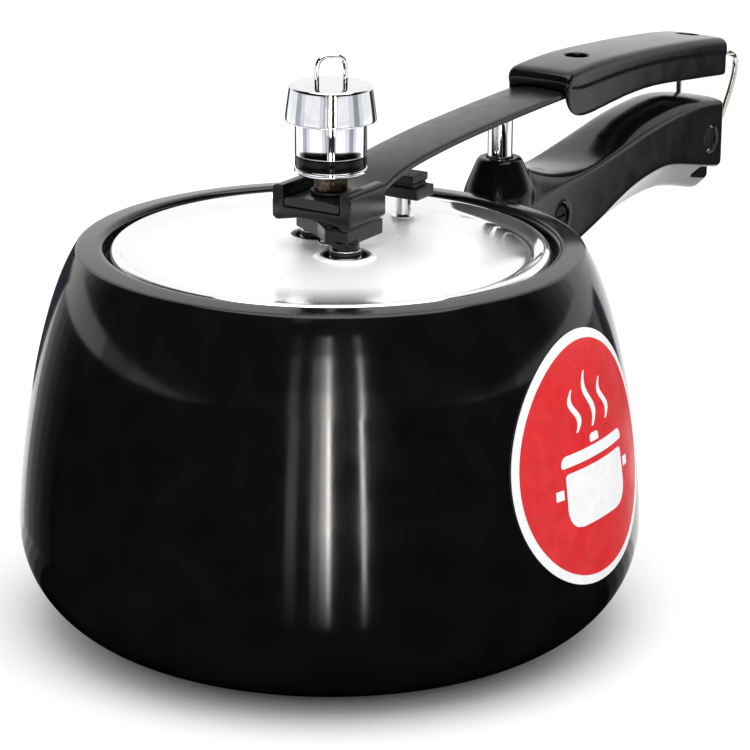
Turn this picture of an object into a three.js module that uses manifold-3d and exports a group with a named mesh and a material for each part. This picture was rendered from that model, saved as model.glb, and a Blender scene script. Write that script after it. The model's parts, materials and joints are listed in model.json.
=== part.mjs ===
// Inner-lid stovetop pressure cooker. Millimetres, +Z up, +X towards the handles.
// The origin is the centre of the flat base that stands on the stove.
import * as THREE from "three";
import { mergeVertices } from "three/addons/utils/BufferGeometryUtils.js";
import Module from "manifold-3d";

const wasm = await Module();
wasm.setup();

// ---- driving dimensions ----

const gap = 0.3; // clearance between neighbouring pieces

// cooker body
const bodyRadius = 100; // widest outer radius
const bodyHeight = 124.7; // base to mouth plane
const cornerRadius = 34; // round between base and side
const mouthRadius = 71.8; // opening
const rimWidth = 9.4; // flat ring around the mouth
const wall = 3.25; // side wall
const base = 4; // base thickness
const lipDepth = 4.5; // mouth plane to the sealing face under the lip
const sideRise = 17.1; // pull of the side curve above the widest point
const shoulderPull = 24.2; // pull of the side curve below the rim
const shoulderLean = 32; // lean of the side at the rim, degrees
const rimDrop = 2.1; // side curve's end to the mouth plane

// label
const labelRadius = 39;
const labelHeight = 71;
const labelThick = 0.3;

// lid and gasket
const lidDrop = 1.5; // mouth plane to the middle of the lid
const beadRise = 0.9; // top of the lid's edge bead above the lid's middle
const lidThick = 2.2;
const lidGap = 1.3; // raised lid to the mouth edge
const flangeDrop = 8.4; // mouth plane to the top of the lid's flange
const flangeReach = 3.5; // flange edge beyond the mouth radius
const gasketReach = 4.8; // gasket edge beyond the mouth radius

// bracket on the lid
const studRadius = 2;
const seatRadius = 7.7; // dished seat around a stud
const seatRim = 1.1; // width of the raised rim of a seat
const seatRise = 0.9; // rim of a seat above the lid's middle
const seatDepth = 3.6; // lid's middle down to a seat's floor
const legTurn = 53.75; // the legs' diagonal, degrees from X
const legRadius = 4.4;
const baseRise = 2.6; // mouth plane to the underside of the bracket base
const baseHeight = 5;
const saddleFront = -11.5;
const saddleBack = 9.5;
const saddleEar = 3.9; // width of an ear beside the bar
const saddleHeight = 11.4;

// vent tube and weight
const ventRadius = 3.2;
const ventBore = 1.3;
const ventNutRoom = 4; // the hexagon nut's flats over the tube's diameter
const ventCollar = 0.8; // width of the tube's collar
const weightRadius = 11.4;
const capRadius = 14.5;
const capTopRadius = 13.4;
const bandHeight = 3.4;
const weightHeight = 10.3;
const capHeight = 12;
const fingerRingWidth = 9.4;
const fingerRingHeight = 9;
const fingerWire = 0.8;
const fingerTurn = -38; // the finger ring's turn about the vent axis, degrees

// lid bar
const barHalf = 10.3;
const barEdge = 2.4; // height of the bar's edge
const barCrown = 3.2; // height of the bar's middle
const saddleWeb = 5; // bar's underside above the saddle's underside

// handles
const fulcrumStandoff = 15.8; // fulcrum axis to the body wall beside it
const skirt = 1.9; // wall of the lid handle beside the bar
const postRadius = 4.3;
const postStud = 2.5;
const towerTopRadius = 7.2;
const towerTop = 5.8; // tower top above the mouth plane
const channelHalf = 7.4;
const channelWall = 2;
const channelTop = 11.7; // mouth plane down to the channel's top face
const channelHeight = 15;
const channelLength = 31; // beyond the fulcrum axis
const plateHalf = 11.5;
const plateThick = 2.5;
const plateTop = 9.7; // mouth plane down to the plate's top
const plateHeight = 23;
const rivetRadius = 1.7;
const rivetHead = 2.1;
const rivetOffset = 2.9;
const rivetDrop = 20.7; // mouth plane down to the rivets
const crossScrewX = 23; // beyond the fulcrum axis
const crossScrewDrop = 18.7;
const screwRadius = 2;
const screwHead = 3.7;
const recessRadius = 4.6;
const recessDepth = 3;

// lock loop
const wire = 1.1; // wire radius
const loopPivotX = 137; // beyond the fulcrum axis
const loopPivotDrop = 13.7;
const loopEye = 2.95; // middle radius of the eye
const loopSlotInset = 4.5; // handle's side to a leg inside the body handle
const loopSpreadInset = 0.9; // handle's side to a leg at the lid handle
const loopSlotRoom = 1.6; // extra width of a leg's slot towards the handle's side
const pivotPin = 1.5;

// safety valve
const valveShare = 0.606; // vent axis to the valve, as a share of the mouth radius
const valveStem = 1.9;
const valveWasher = 0.8; // thickness
const valveRise = 7.5; // lid's middle to the valve's flange

// what follows from these
const handleHalf = barHalf + gap + skirt;
const saddleHalf = barHalf + gap + saddleEar;
const loopSlotY = handleHalf - loopSlotInset;
const loopSpread = handleHalf - loopSpreadInset;
const valveX = valveShare * mouthRadius;
const legReach = seatRadius + seatRim + ventRadius + ventCollar + 0.7 * gap; // vent axis to a leg's axis
const legX = legReach * Math.cos((legTurn * Math.PI) / 180);
const legY = legReach * Math.sin((legTurn * Math.PI) / 180);

// ---- helpers ----

const V2 = (x, y) => new THREE.Vector2(x, y);
const V3 = (x, y, z) => new THREE.Vector3(x, y, z);
const rad = THREE.MathUtils.degToRad;

/** A manifold solid from a closed geometry, with its faces turned outwards. */
function solid(geometry) {
  const bare = geometry.clone();
  bare.deleteAttribute("normal");
  bare.deleteAttribute("uv");
  const merged = mergeVertices(bare, 1e-4);
  const place = merged.attributes.position.array;
  const index = merged.index.array;
  const kept = [];
  let volume = 0;
  const a = V3();
  const b = V3();
  const c = V3();
  for (let i = 0; i < index.length; i += 3) {
    const [p, q, r] = [index[i], index[i + 1], index[i + 2]];
    if (p === q || q === r || r === p) continue;
    a.fromArray(place, 3 * p);
    b.fromArray(place, 3 * q);
    c.fromArray(place, 3 * r);
    volume += a.dot(b.cross(c));
    kept.push(p, q, r);
  }
  if (volume < 0) kept.reverse();
  return new wasm.Manifold(new wasm.Mesh({
    numProp: 3,
    vertProperties: Float32Array.from(place),
    triVerts: Uint32Array.from(kept),
  }));
}

/** The geometry of a manifold solid. */
function geometryOf(body) {
  const data = body.getMesh();
  const geometry = new THREE.BufferGeometry();
  geometry.setAttribute("position", new THREE.BufferAttribute(Float32Array.from(data.vertProperties), 3));
  geometry.setIndex([...data.triVerts]);
  geometry.computeVertexNormals();
  return geometry;
}

const asSolid = (g) => (g.isBufferGeometry ? solid(g) : g);

const joined = (...pieces) => pieces.map(asSolid).reduce((a, b) => a.add(b));

function cut(body, ...tools) {
  let left = asSolid(body);
  for (const tool of tools) left = left.subtract(asSolid(tool));
  return left;
}

/** A solid of revolution about Z from [radius, z] pairs. */
function turned(profile, segments) {
  const points = profile.map(([r, z]) => V2(r, z));
  if (profile[0][0] > 0) points.push(points[0].clone());
  return new THREE.LatheGeometry(points, segments).rotateX(Math.PI / 2);
}

const rod = (radius, low, high, segments = 16) =>
  turned([[0, low], [radius, low], [radius, high], [0, high]], segments);

const washer = (outer, inner, low, high, segments = 18) =>
  turned([[inner, low], [outer, low], [outer, high], [inner, high]], segments);

function box(x0, x1, y0, y1, z0, z1) {
  const geometry = new THREE.BoxGeometry(x1 - x0, y1 - y0, z1 - z0);
  return geometry.translate((x0 + x1) / 2, (y0 + y1) / 2, (z0 + z1) / 2);
}

/** A hexagonal nut about Z with a bore. */
function hexNut(flats, bore, low, high) {
  const corner = flats / Math.sqrt(3);
  return cut(rod(corner, low, high, 6), rod(bore, low - 1, high + 1));
}

/** A rod along Y at a point in the XZ plane. */
function crossRod(radius, x, z, y0, y1, segments = 16) {
  return rod(radius, -y1, -y0, segments).rotateX(Math.PI / 2).translate(x, 0, z);
}

/** A solid through rings of points that lie in planes across X. */
function lofted(rings) {
  const count = rings[0].length;
  const points = rings.flat();
  const faces = [];
  for (let i = 0; i + 1 < rings.length; i += 1) {
    for (let j = 0; j < count; j += 1) {
      const k = (j + 1) % count;
      const [a, b] = [i * count + j, i * count + k];
      faces.push(a, b, b + count, a, b + count, a + count);
    }
  }
  for (const [start, flip] of [[0, true], [(rings.length - 1) * count, false]]) {
    const middle = points.length;
    const sum = V3();
    for (let j = 0; j < count; j += 1) sum.add(points[start + j]);
    points.push(sum.divideScalar(count));
    for (let j = 0; j < count; j += 1) {
      const [a, b] = [start + j, start + ((j + 1) % count)];
      faces.push(...(flip ? [middle, b, a] : [middle, a, b]));
    }
  }
  const geometry = new THREE.BufferGeometry().setFromPoints(points);
  geometry.setIndex(faces);
  return geometry;
}

/** A ring across X at x, from the [y, z] points of its +Y half, bottom to top. */
function mirroredRing(x, half) {
  const right = half.map(([y, z]) => V3(x, y, z));
  const left = half.filter(([y]) => y > 0).reverse().map(([y, z]) => V3(x, -y, z));
  return [...right, ...left];
}

/** A height line through [x, z] points, read at any x. */
function line(points) {
  const spline = new THREE.SplineCurve(points.map(([x, z]) => V2(x, z)));
  const samples = spline.getSpacedPoints(300);
  return (x) => {
    let i = 1;
    while (i < samples.length - 1 && samples[i].x < x) i += 1;
    const [a, b] = [samples[i - 1], samples[i]];
    return a.y + ((x - a.x) / (b.x - a.x)) * (b.y - a.y);
  };
}

function roundTube(points, radius, sides, steps) {
  const curve = new THREE.CatmullRomCurve3(points, false, "centripetal");
  const section = new THREE.Shape();
  for (let i = 0; i < sides; i += 1) {
    const angle = (2 * Math.PI * i) / sides;
    const [x, y] = [radius * Math.cos(angle), radius * Math.sin(angle)];
    if (i === 0) section.moveTo(x, y);
    else section.lineTo(x, y);
  }
  return new THREE.ExtrudeGeometry(section, { steps, extrudePath: curve, curveSegments: 1 });
}

// ---- cooker body ----

const rimRadius = mouthRadius + rimWidth;

/** The side from the widest point up to the rim, as [radius, z], moved outwards by offset. */
function sideCurve(offset, count) {
  const lean = rad(shoulderLean);
  const end = V2(rimRadius, bodyHeight - rimDrop);
  const curve = new THREE.CubicBezierCurve(
    V2(bodyRadius, cornerRadius),
    V2(bodyRadius, cornerRadius + sideRise),
    V2(end.x + shoulderPull * Math.sin(lean), end.y - shoulderPull * Math.cos(lean)),
    end,
  );
  const points = [];
  for (let i = 0; i <= count; i += 1) {
    const at = curve.getPoint(i / count);
    const along = curve.getTangent(i / count);
    points.push([at.x + along.y * offset, at.y - along.x * offset]);
  }
  return points;
}

/** The round between base and side, from the base up, moved outwards by offset. */
function cornerCurve(offset, count) {
  const points = [];
  for (let i = 0; i <= count; i += 1) {
    const angle = (Math.PI / 2) * (i / count);
    const radius = cornerRadius + offset;
    points.push([
      bodyRadius - cornerRadius + radius * Math.sin(angle),
      cornerRadius - radius * Math.cos(angle),
    ]);
  }
  return points;
}

/** Outer radius and slope of the body's side at a height. */
function wallAt(z) {
  const points = sideCurve(0, 200);
  const i = points.findIndex((p) => p[1] >= z);
  const [a, b] = [points[i - 1], points[i]];
  const share = (z - a[1]) / (b[1] - a[1]);
  return { radius: a[0] + share * (b[0] - a[0]), lean: Math.atan2(a[0] - b[0], b[1] - a[1]) };
}

/** The space inside a surface that runs outside the body's side by offset. */
const bodyBlank = (offset) =>
  turned([[0, -5], [bodyRadius + offset, -5], [bodyRadius + offset, cornerRadius],
    ...sideCurve(offset, 14), [mouthRadius, bodyHeight + 1], [0, bodyHeight + 1]], 64);

function bodyShell() {
  const sealFace = bodyHeight - lipDepth;
  const inside = sideCurve(-wall, 7).filter(([, z]) => z < sealFace - 1);
  const last = inside[inside.length - 1];
  const profile = [
    [0, 0],
    ...cornerCurve(0, 5),
    ...sideCurve(0, 7).slice(1),
    [rimRadius - 1, bodyHeight - 0.7],
    [mouthRadius + 1.4, bodyHeight],
    [mouthRadius + 0.3, bodyHeight - 0.5],
    [mouthRadius, bodyHeight - 1.6],
    [mouthRadius, sealFace + 0.6],
    [mouthRadius + 0.6, sealFace],
    [last[0] - 1.6, sealFace],
    ...inside.reverse(),
    ...cornerCurve(-wall, 5).reverse().slice(1).map(([r, z]) => [r, Math.max(z, base)]),
    [0, base],
  ];
  const holes = rivetSides.map((side) => placeRivet(rod(rivetRadius + gap, -3 * wall, 3 * wall), side));
  return cut(turned(profile, 48), ...holes);
}

// ---- body handle's bracket ----

const wallBeside = wallAt(bodyHeight - plateTop - plateHeight / 2 - 5);
const fulcrumX = wallBeside.radius + fulcrumStandoff;
const rivetSides = [-1, 1];

/** Turns a rivet shape along Z so that Z points out of the wall at the rivet's place. */
function placeRivet(geometry, side) {
  const height = bodyHeight - rivetDrop;
  const { radius, lean } = wallAt(height);
  const turn = Math.asin((side * rivetOffset) / radius);
  return geometry
    .rotateY(Math.PI / 2 - lean)
    .translate(radius, 0, height)
    .rotateZ(turn);
}

function rivet(side) {
  const inner = -wall - 2 * gap;
  const outer = plateThick + 2 * gap;
  const headHeight = 1.2;
  const profile = [
    [0, inner - headHeight], [rivetHead, inner - headHeight], [rivetHead, inner],
    [rivetRadius, inner], [rivetRadius, outer],
    [rivetHead, outer], [rivetHead, outer + headHeight], [0, outer + headHeight],
  ];
  return placeRivet(turned(profile, 12), side);
}

function handleBracket() {
  const top = bodyHeight - plateTop;
  const reach = bodyRadius + 10;
  const slab = solid(box(40, reach, -plateHalf, plateHalf, top - plateHeight, top));
  const plate = cut(slab.intersect(solid(bodyBlank(gap + plateThick))), bodyBlank(gap));
  const channelZ = bodyHeight - channelTop;
  const end = fulcrumX + channelLength;
  const outer = box(70, end, -channelHalf, channelHalf, channelZ - channelHeight, channelZ);
  const hollow = box(60, end + 5, channelWall - channelHalf, channelHalf - channelWall,
    channelZ - channelHeight - 5, channelZ - channelWall);
  const channel = cut(outer, hollow, bodyBlank(gap + plateThick / 2));
  const holes = [
    rod(postStud + gap, channelZ - 10, channelZ + 5).translate(fulcrumX, 0, 0),
    crossRod(screwRadius + gap, fulcrumX + crossScrewX, bodyHeight - crossScrewDrop, -20, 20),
    ...rivetSides.map((side) => placeRivet(rod(rivetRadius + gap, -3 * wall, 3 * wall), side)),
  ];
  return cut(joined(plate, channel), ...holes);
}

// ---- body handle ----

const handleEnd = 147.6; // outer end face beyond the fulcrum axis

// Heights above the mouth plane along the body handle, against the distance beyond the fulcrum.
const sideTop = line([[0, -10.4], [18, -7.7], [42, -5.7], [65, -3.2], [85, -0.9], [102, 0.4], [119, 1],
  [132, 0.5], [150, -1.6]]);
const sideBottom = line([[0, -36], [20, -33.4], [36, -29.7], [51, -25.9], [68, -20.8], [81, -18],
  [96, -16.6], [108, -17.2], [124, -20.6], [136, -23.4], [150, -26.2]]);
const crestTop = line([[0, 3.5], [6, 3.4], [11, 1.3], [19, -1.7], [28, -3.9], [42, -5.4], [53, -4.6],
  [65, -2], [76, 0.8], [88, 3.2], [104, 4.7], [119, 4.8], [132, 3.2], [150, -0.6]]);
const crestBottom = line([[0, -41], [22, -40.4], [43, -37.2], [63, -33.7], [83, -30.6], [100, -29.3],
  [115, -29.8], [128, -32.1], [141, -35.4], [150, -37.6]]);

function bodyHandleRing(along, inset) {
  const z = bodyHeight;
  const low = z + crestBottom(along) + inset;
  const edgeLow = z + sideBottom(along) + inset;
  const edgeTop = z + sideTop(along) - inset;
  const top = z + crestTop(along) - inset;
  const half = handleHalf - inset * 0.4;
  return mirroredRing(fulcrumX + along, [
    [0, low], [2.6, low + 1.1], [half, edgeLow], [half, edgeTop],
    [9.8, edgeTop + 0.62 * (top - edgeTop)], [6, edgeTop + 0.92 * (top - edgeTop)], [0, top],
  ]);
}

function bodyHandle() {
  const stations = [0, 6, 11, 18, 27, 38, 50, 62, 73, 84, 95, 107, 119, 130, 139, handleEnd - 2.2];
  const rings = stations.map((along) => bodyHandleRing(along, 0));
  rings.push(bodyHandleRing(handleEnd, 1.6));
  const z = bodyHeight;
  const tower = turned([
    [0, z + crestBottom(0)], [handleHalf - 4, z + crestBottom(0)], [handleHalf, z + sideBottom(0)],
    [handleHalf, z - 7.2], [11.4, z - 3.7], [towerTopRadius + 0.7, z + towerTop - 1],
    [towerTopRadius, z + towerTop], [0, z + towerTop],
  ], 24).translate(fulcrumX, 0, 0);
  const channelZ = z - channelTop;
  const pocket = box(60, fulcrumX + channelLength + gap * 4, -channelHalf - gap, channelHalf + gap,
    channelZ - channelHeight - gap, channelZ + gap);
  const postHole = rod(postRadius + gap, channelZ - 1, z + towerTop + 5, 20).translate(fulcrumX, 0, 0);
  const screwX = fulcrumX + crossScrewX;
  const screwZ = z - crossScrewDrop;
  const pinX = fulcrumX + loopPivotX;
  const pinZ = z - loopPivotDrop;
  const depth = handleHalf - recessDepth;
  const slotHalf = wire + gap;
  const slotTop = pinZ + loopEye + wire + 2 * gap;
  const slotBack = pinX - loopEye - wire - 2 * gap;
  const slots = [-1, 1].map((side) => box(slotBack, fulcrumX + handleEnd + 10,
    side > 0 ? loopSlotY - slotHalf : -loopSlotY - slotHalf - loopSlotRoom,
    side > 0 ? loopSlotY + slotHalf + loopSlotRoom : slotHalf - loopSlotY, z - 60, slotTop));
  const recesses = [-1, 1].flatMap((side) => [
    crossRod(recessRadius, screwX, screwZ, side > 0 ? depth : -40, side > 0 ? 40 : -depth, 20),
    crossRod(recessRadius, pinX, pinZ, side > 0 ? depth + 0.8 : -40, side > 0 ? 40 : -depth - 0.8, 20),
  ]);
  return cut(joined(lofted(rings), tower), bodyBlank(2 * gap + plateThick), pocket, postHole,
    crossRod(screwRadius + gap, screwX, screwZ, -30, 30), crossRod(pivotPin + gap, pinX, pinZ, -30, 30),
    ...recesses, ...slots);
}

function bodyHandleScrew() {
  const seat = handleHalf - recessDepth + gap;
  const x = fulcrumX + crossScrewX;
  const z = bodyHeight - crossScrewDrop;
  const head = crossRod(screwHead, x, z, -seat - 2, -seat);
  const shank = crossRod(screwRadius, x, z, -seat - 0.5, seat + 2.4);
  const slot = box(x - 3, x + 3, -seat - 3, -seat - 1.2, z - 0.5, z + 0.5);
  return cut(joined(head, shank), slot);
}

function bodyHandleNut() {
  const seat = handleHalf - recessDepth + gap;
  const nut = hexNut(6.6, screwRadius + gap, -seat - 2, -seat).rotate(90, 0, 0);
  return nut.translate(fulcrumX + crossScrewX, 0, bodyHeight - crossScrewDrop);
}

function loopPivotPin() {
  const seat = handleHalf - recessDepth + 0.8 + gap;
  const x = fulcrumX + loopPivotX;
  const z = bodyHeight - loopPivotDrop;
  return joined(crossRod(pivotPin, x, z, -seat - 0.5, seat + 0.5, 12),
    crossRod(3, x, z, -seat - 1.2, -seat), crossRod(3, x, z, seat, seat + 1.2));
}

// ---- lid bar, fulcrum post ----

const barFlat = baseRise + baseHeight + gap + saddleWeb; // bar's underside over the mouth plane, at the vent

/** Underside of the lid bar above the mouth plane, against x. */
const barLow = line([[-16, barFlat], [4, barFlat], [13, barFlat + 0.6], [24, barFlat + 3.6],
  [34, barFlat + 5.3], [48, barFlat + 6.6], [70, barFlat + 7.8], [fulcrumX - 4, barFlat + 8.6],
  [fulcrumX + 26, barFlat + 8.9], [fulcrumX + 53, barFlat + 8.6], [fulcrumX + 74, barFlat + 7.6],
  [fulcrumX + 93, barFlat + 6.3], [fulcrumX + 112, barFlat + 4.6], [fulcrumX + 129, barFlat + 2.8],
  [fulcrumX + 148, barFlat + 0.6]]);
const barEnd = fulcrumX + 144.6;
const lidScrewX = [fulcrumX + 53, fulcrumX + 139];

function barRing(x, grow) {
  const z = bodyHeight + barLow(x);
  const half = barHalf + grow;
  const [low, edge, top] = [z - grow, z + barEdge + grow, z + barCrown + grow];
  return mirroredRing(x, [[0, low], [half - 0.5, low], [half, low + 0.4], [half, edge - 0.5],
    [half - 0.9, edge], [half / 2, top - 0.2], [0, top]]);
}

const barStations = (start, end) => {
  const near = [4, 13, 18, 24, 34, 48, 65, 82].filter((x) => x > start + 2);
  const far = [0, 26, 45, 60, 75, 90, 105, 120, 133].map((d) => fulcrumX + d);
  return [start, ...near, ...far.filter((x) => x > start + 2), end];
};

function lidBar() {
  const stations = barStations(saddleFront + gap, barEnd);
  const holes = [
    rod(ventRadius + gap, 0, 400),
    ...lidScrewX.map((x) => rod(screwRadius + gap, 0, 400, 12).translate(x, 0, 0)),
  ];
  return cut(lofted(stations.map((x) => barRing(x, 0))), ...holes);
}

const postTop = bodyHeight + barLow(fulcrumX) - gap;

function fulcrumPost() {
  const seat = bodyHeight - channelTop + gap;
  const stud = seat - channelWall - gap;
  return turned([
    [0, stud - 6.2], [postStud, stud - 6.2], [postStud, seat], [postRadius, seat],
    [postRadius, postTop - 2], [postRadius * 0.86, postTop - 0.9], [postRadius * 0.5, postTop - 0.25],
    [0, postTop],
  ], 24).translate(fulcrumX, 0, 0);
}

function fulcrumNut() {
  const top = bodyHeight - channelTop - channelWall - gap;
  return hexNut(8, postStud + gap, top - 4, top).translate(fulcrumX, 0, 0);
}

// ---- lid handle ----

const lidHandleStart = 25.5;
const lidHandleEnd = 149.4;

// Heights above the mouth plane along the lid handle, against the distance beyond the fulcrum.
const lidHandleTop = line([[25, 28.4], [27.5, 30.6], [33, 31.3], [48, 31.5], [61, 31.1], [74, 30.3],
  [93, 28.9], [112, 27.2], [128, 25.5], [143, 23.5], [147.5, 22.3], [150, 19.6]]);
const lidHandleLow = line([[25, 22.2], [27.5, 18.8], [30.5, 16.3], [35, 14.6], [43, 14.1], [62, 15],
  [75, 15.3], [88, 15], [101, 13.9], [115, 12.3], [132, 10.3], [147, 8.6], [150, 9.4]]);

function lidHandleRing(along, inset) {
  const top = bodyHeight + lidHandleTop(along) - inset;
  const low = bodyHeight + lidHandleLow(along) + inset;
  const half = handleHalf - inset;
  return mirroredRing(fulcrumX + along, [
    [0, low], [half - 1, low], [half, low + 1], [half, top - 4],
    [half - 0.5, top - 1.5], [half - 1.9, top - 0.3], [0, top + 0.3],
  ]);
}

function lidHandle() {
  const stations = [27.5, 30.5, 35, 43, 53, 62, 75, 88, 101, 115, 128, 139, 147];
  const rings = [
    lidHandleRing(lidHandleStart, 0.4),
    ...stations.map((along) => lidHandleRing(along, 0)),
    lidHandleRing(lidHandleEnd, 0.6),
  ];
  const z = bodyHeight;
  const end = fulcrumX + lidHandleEnd;
  const ledgeTop = loopHookZ() - wire - gap;
  const ledgeLow = z + lidHandleLow(147) + 0.6;
  const ledgeHalf = loopSpread - 3.6;
  const ledge = new THREE.Shape([V2(-6, ledgeLow), V2(3.6, ledgeLow), V2(4.4, ledgeLow + 1),
    V2(4.4, ledgeTop - 2.6), V2(1.6, ledgeTop), V2(-6, ledgeTop)]);
  const nose = new THREE.ExtrudeGeometry(ledge, { depth: 2 * ledgeHalf, bevelEnabled: false })
    .rotateX(Math.PI / 2).translate(end, ledgeHalf, 0);
  const channelEnd = barEnd + gap;
  const stationsIn = barStations(fulcrumX + 20, channelEnd);
  const roomRings = stationsIn.map((x) => {
    const top = z + barLow(x) + barCrown + gap;
    const half = barHalf + gap;
    return mirroredRing(x, [[0, z - 20], [half, z - 20], [half, top - 0.5], [half / 2, top + 0.1],
      [0, top + 0.3]]);
  });
  const screwTools = lidScrewX.flatMap((x) => {
    const headSeat = z + barLow(x) + barCrown + gap + 2;
    return [
      rod(screwRadius + gap, z, z + 60, 12).translate(x, 0, 0),
      rod(recessRadius - 0.3, headSeat, z + 60, 20).translate(x, 0, 0),
    ];
  });
  return cut(joined(lofted(rings), nose), lofted(roomRings), ...screwTools);
}

function lidHandleScrew(x) {
  const seat = bodyHeight + barLow(x) + barCrown + 2 * gap + 2;
  const tip = bodyHeight + barLow(x) - 1.2;
  const screw = turned([[0, tip], [screwRadius, tip], [screwRadius, seat], [screwHead, seat],
    [screwHead, seat + 1.4], [0, seat + 1.8]], 14);
  const slot = box(-3, 3, -0.5, 0.5, seat + 0.8, seat + 5);
  return cut(screw, slot).translate(x, 0, 0);
}

// ---- lock loop ----

const loopHookX = () => fulcrumX + lidHandleEnd + 0.6 + wire + gap;
const loopHookZ = () => bodyHeight + 16.2;

function lockLoop() {
  const pinX = fulcrumX + loopPivotX;
  const pinZ = bodyHeight - loopPivotDrop;
  const x = loopHookX();
  const z = loopHookZ();
  const half = [
    [pinX, loopSlotY, pinZ + loopEye],
    [pinX + 5, loopSlotY, pinZ + loopEye],
    [fulcrumX + handleEnd + 1.2, loopSlotY, pinZ + loopEye + 0.1],
    [x + 0.4, loopSlotY + 0.9, pinZ + loopEye + 2.2],
    [x + 2.2, loopSlotY + 2, pinZ + loopEye + 7],
    [x + 4.6, loopSpread - 0.4, pinZ + loopEye + 15],
    [x + 5.9, loopSpread, pinZ + loopEye + 21.4],
    [x + 4.4, loopSpread, pinZ + loopEye + 25],
    [x + 1.8, loopSpread, z - 0.4],
    [x + 0.2, loopSpread - 1.2, z],
    [x, loopSpread - 3, z],
    [x, 3, z],
  ];
  const points = [
    ...half.map(([a, b, c]) => V3(a, -b, c)),
    ...half.reverse().map(([a, b, c]) => V3(a, b, c)),
  ];
  const eyes = [-1, 1].map((side) => new THREE.TorusGeometry(loopEye, wire, 8, 14)
    .rotateX(Math.PI / 2).translate(pinX, side * loopSlotY, pinZ));
  return joined(roundTube(points, wire, 8, 64), ...eyes);
}

// ---- lid ----

const plateauRadius = mouthRadius - lidGap;
const lidTop = bodyHeight - lidDrop;
const flangeTop = bodyHeight - flangeDrop;
const legPlaces = [[-legX, -legY], [legX, legY]];
const seatFloor = lidTop - seatDepth;
const bossLow = seatFloor - lidThick; // underside of the lid's thicker middle
const bossRadius = legReach + seatRadius + seatRim + lidThick;

function lid() {
  const p = plateauRadius;
  const edge = mouthRadius + flangeReach;
  const t = lidThick;
  const beadTop = lidTop + beadRise;
  const profile = [
    [0, bossLow], [bossRadius, bossLow], [bossRadius + 2, lidTop - t - 0.1], [p - 18.5, lidTop - t - 0.9],
    [p - 9, lidTop - t - 1.5], [p - 5, lidTop - t - 1.2], [p - 2.4, lidTop - t - 1.5],
    [p - 2.2, flangeTop - t + 1], [p - 1.2, flangeTop - t], [edge, flangeTop - t],
    [edge, flangeTop], [p + 0.6, flangeTop], [p, flangeTop + 0.6], [p, beadTop - 3.3],
    [p - 0.5, beadTop - 1.7], [p - 1.4, beadTop - 0.5], [p - 2.8, beadTop], [p - 4.4, lidTop - 0.2],
    [p - 6.5, lidTop - 1.3], [p - 9, lidTop - 1.5], [p - 18.5, lidTop - 0.9], [p - 30.5, lidTop - 0.35],
    [bossRadius, lidTop], [0, lidTop],
  ];
  const rims = legPlaces.map(([x, y]) =>
    rod(seatRadius + seatRim, lidTop - 1, lidTop + seatRise, 28).translate(x, y, 0));
  const dishes = legPlaces.map(([x, y]) => rod(seatRadius, seatFloor, lidTop + 9, 28).translate(x, y, 0));
  const holes = legPlaces.map(([x, y]) => rod(studRadius + gap, 0, 400, 14).translate(x, y, 0));
  return cut(joined(turned(profile, 44), ...rims), ...dishes, ...holes, rod(ventRadius + gap, 0, 400),
    rod(valveStem + gap, 0, 400).translate(valveX, 0, 0));
}

function gasket() {
  const m = mouthRadius;
  const top = bodyHeight - lipDepth - gap;
  const low = flangeTop - lidThick - 1.5;
  const groove = m + flangeReach + gap;
  const inner = m + 0.6;
  return turned([
    [inner, low], [m + gasketReach - 0.6, low], [m + gasketReach, low + 0.8], [m + gasketReach, top - 1.6],
    [m + gasketReach - 1.2, top], [m + 1, top], [inner, top - 1.2], [inner, flangeTop + gap],
    [groove, flangeTop + gap], [groove, flangeTop - lidThick - gap], [inner, flangeTop - lidThick - gap],
  ], 40);
}

// ---- bracket on the lid ----

const baseLow = bodyHeight + baseRise;
const baseTop = baseLow + baseHeight;
const saddleLow = baseTop + gap;
const legLow = seatFloor + 6.5;

function bracketBase() {
  const outline = new THREE.Shape([
    V2(saddleFront, -saddleHalf + 1), V2(saddleBack - 0.2, -saddleHalf + 1), V2(saddleBack, saddleHalf - 0.8),
    V2(legX - 6, saddleHalf - 0.2), V2(-6, 1), V2(saddleFront - 0.4, -legY + 5),
  ]);
  const plate = new THREE.ExtrudeGeometry(outline, { depth: baseHeight, bevelEnabled: false })
    .translate(0, 0, baseLow);
  const legs = legPlaces.map(([x, y]) => rod(legRadius, legLow, baseLow + 1, 20).translate(x, y, 0));
  const holes = legPlaces.map(([x, y]) => rod(studRadius + gap, 0, baseTop - 1.5, 14).translate(x, y, 0));
  return cut(joined(plate, ...legs), ...holes, rod(ventRadius + gap, 0, 400));
}

function barSaddle() {
  const top = saddleLow + saddleHeight;
  const outline = new THREE.Shape();
  const h = saddleHalf;
  const inner = barHalf + gap;
  const floor = bodyHeight + barFlat - gap;
  outline.moveTo(-h, saddleLow + 1.2);
  outline.lineTo(-h + 1.4, saddleLow);
  outline.lineTo(-5, saddleLow + 1.6);
  outline.lineTo(5, saddleLow + 1.6);
  outline.lineTo(h - 1.4, saddleLow);
  outline.lineTo(h, saddleLow + 1.2);
  outline.lineTo(h, top - 1.6);
  outline.absarc(h - 1.6, top - 1.6, 1.6, 0, Math.PI / 2);
  outline.lineTo(inner, top);
  outline.lineTo(inner, floor);
  outline.lineTo(-inner, floor);
  outline.lineTo(-inner, top);
  outline.lineTo(-h + 1.6, top);
  outline.absarc(-h + 1.6, top - 1.6, 1.6, Math.PI / 2, Math.PI);
  const depth = saddleBack - saddleFront;
  const block = new THREE.ExtrudeGeometry(outline, { depth, bevelEnabled: false, curveSegments: 4 })
    .rotateX(Math.PI / 2).rotateZ(Math.PI / 2).translate(saddleFront, 0, 0);
  const barRoom = lofted([saddleFront - 1, 4, 13].map((x) => barRing(x, gap)));
  return cut(block, barRoom, rod(ventRadius + gap, 0, 400));
}

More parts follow.
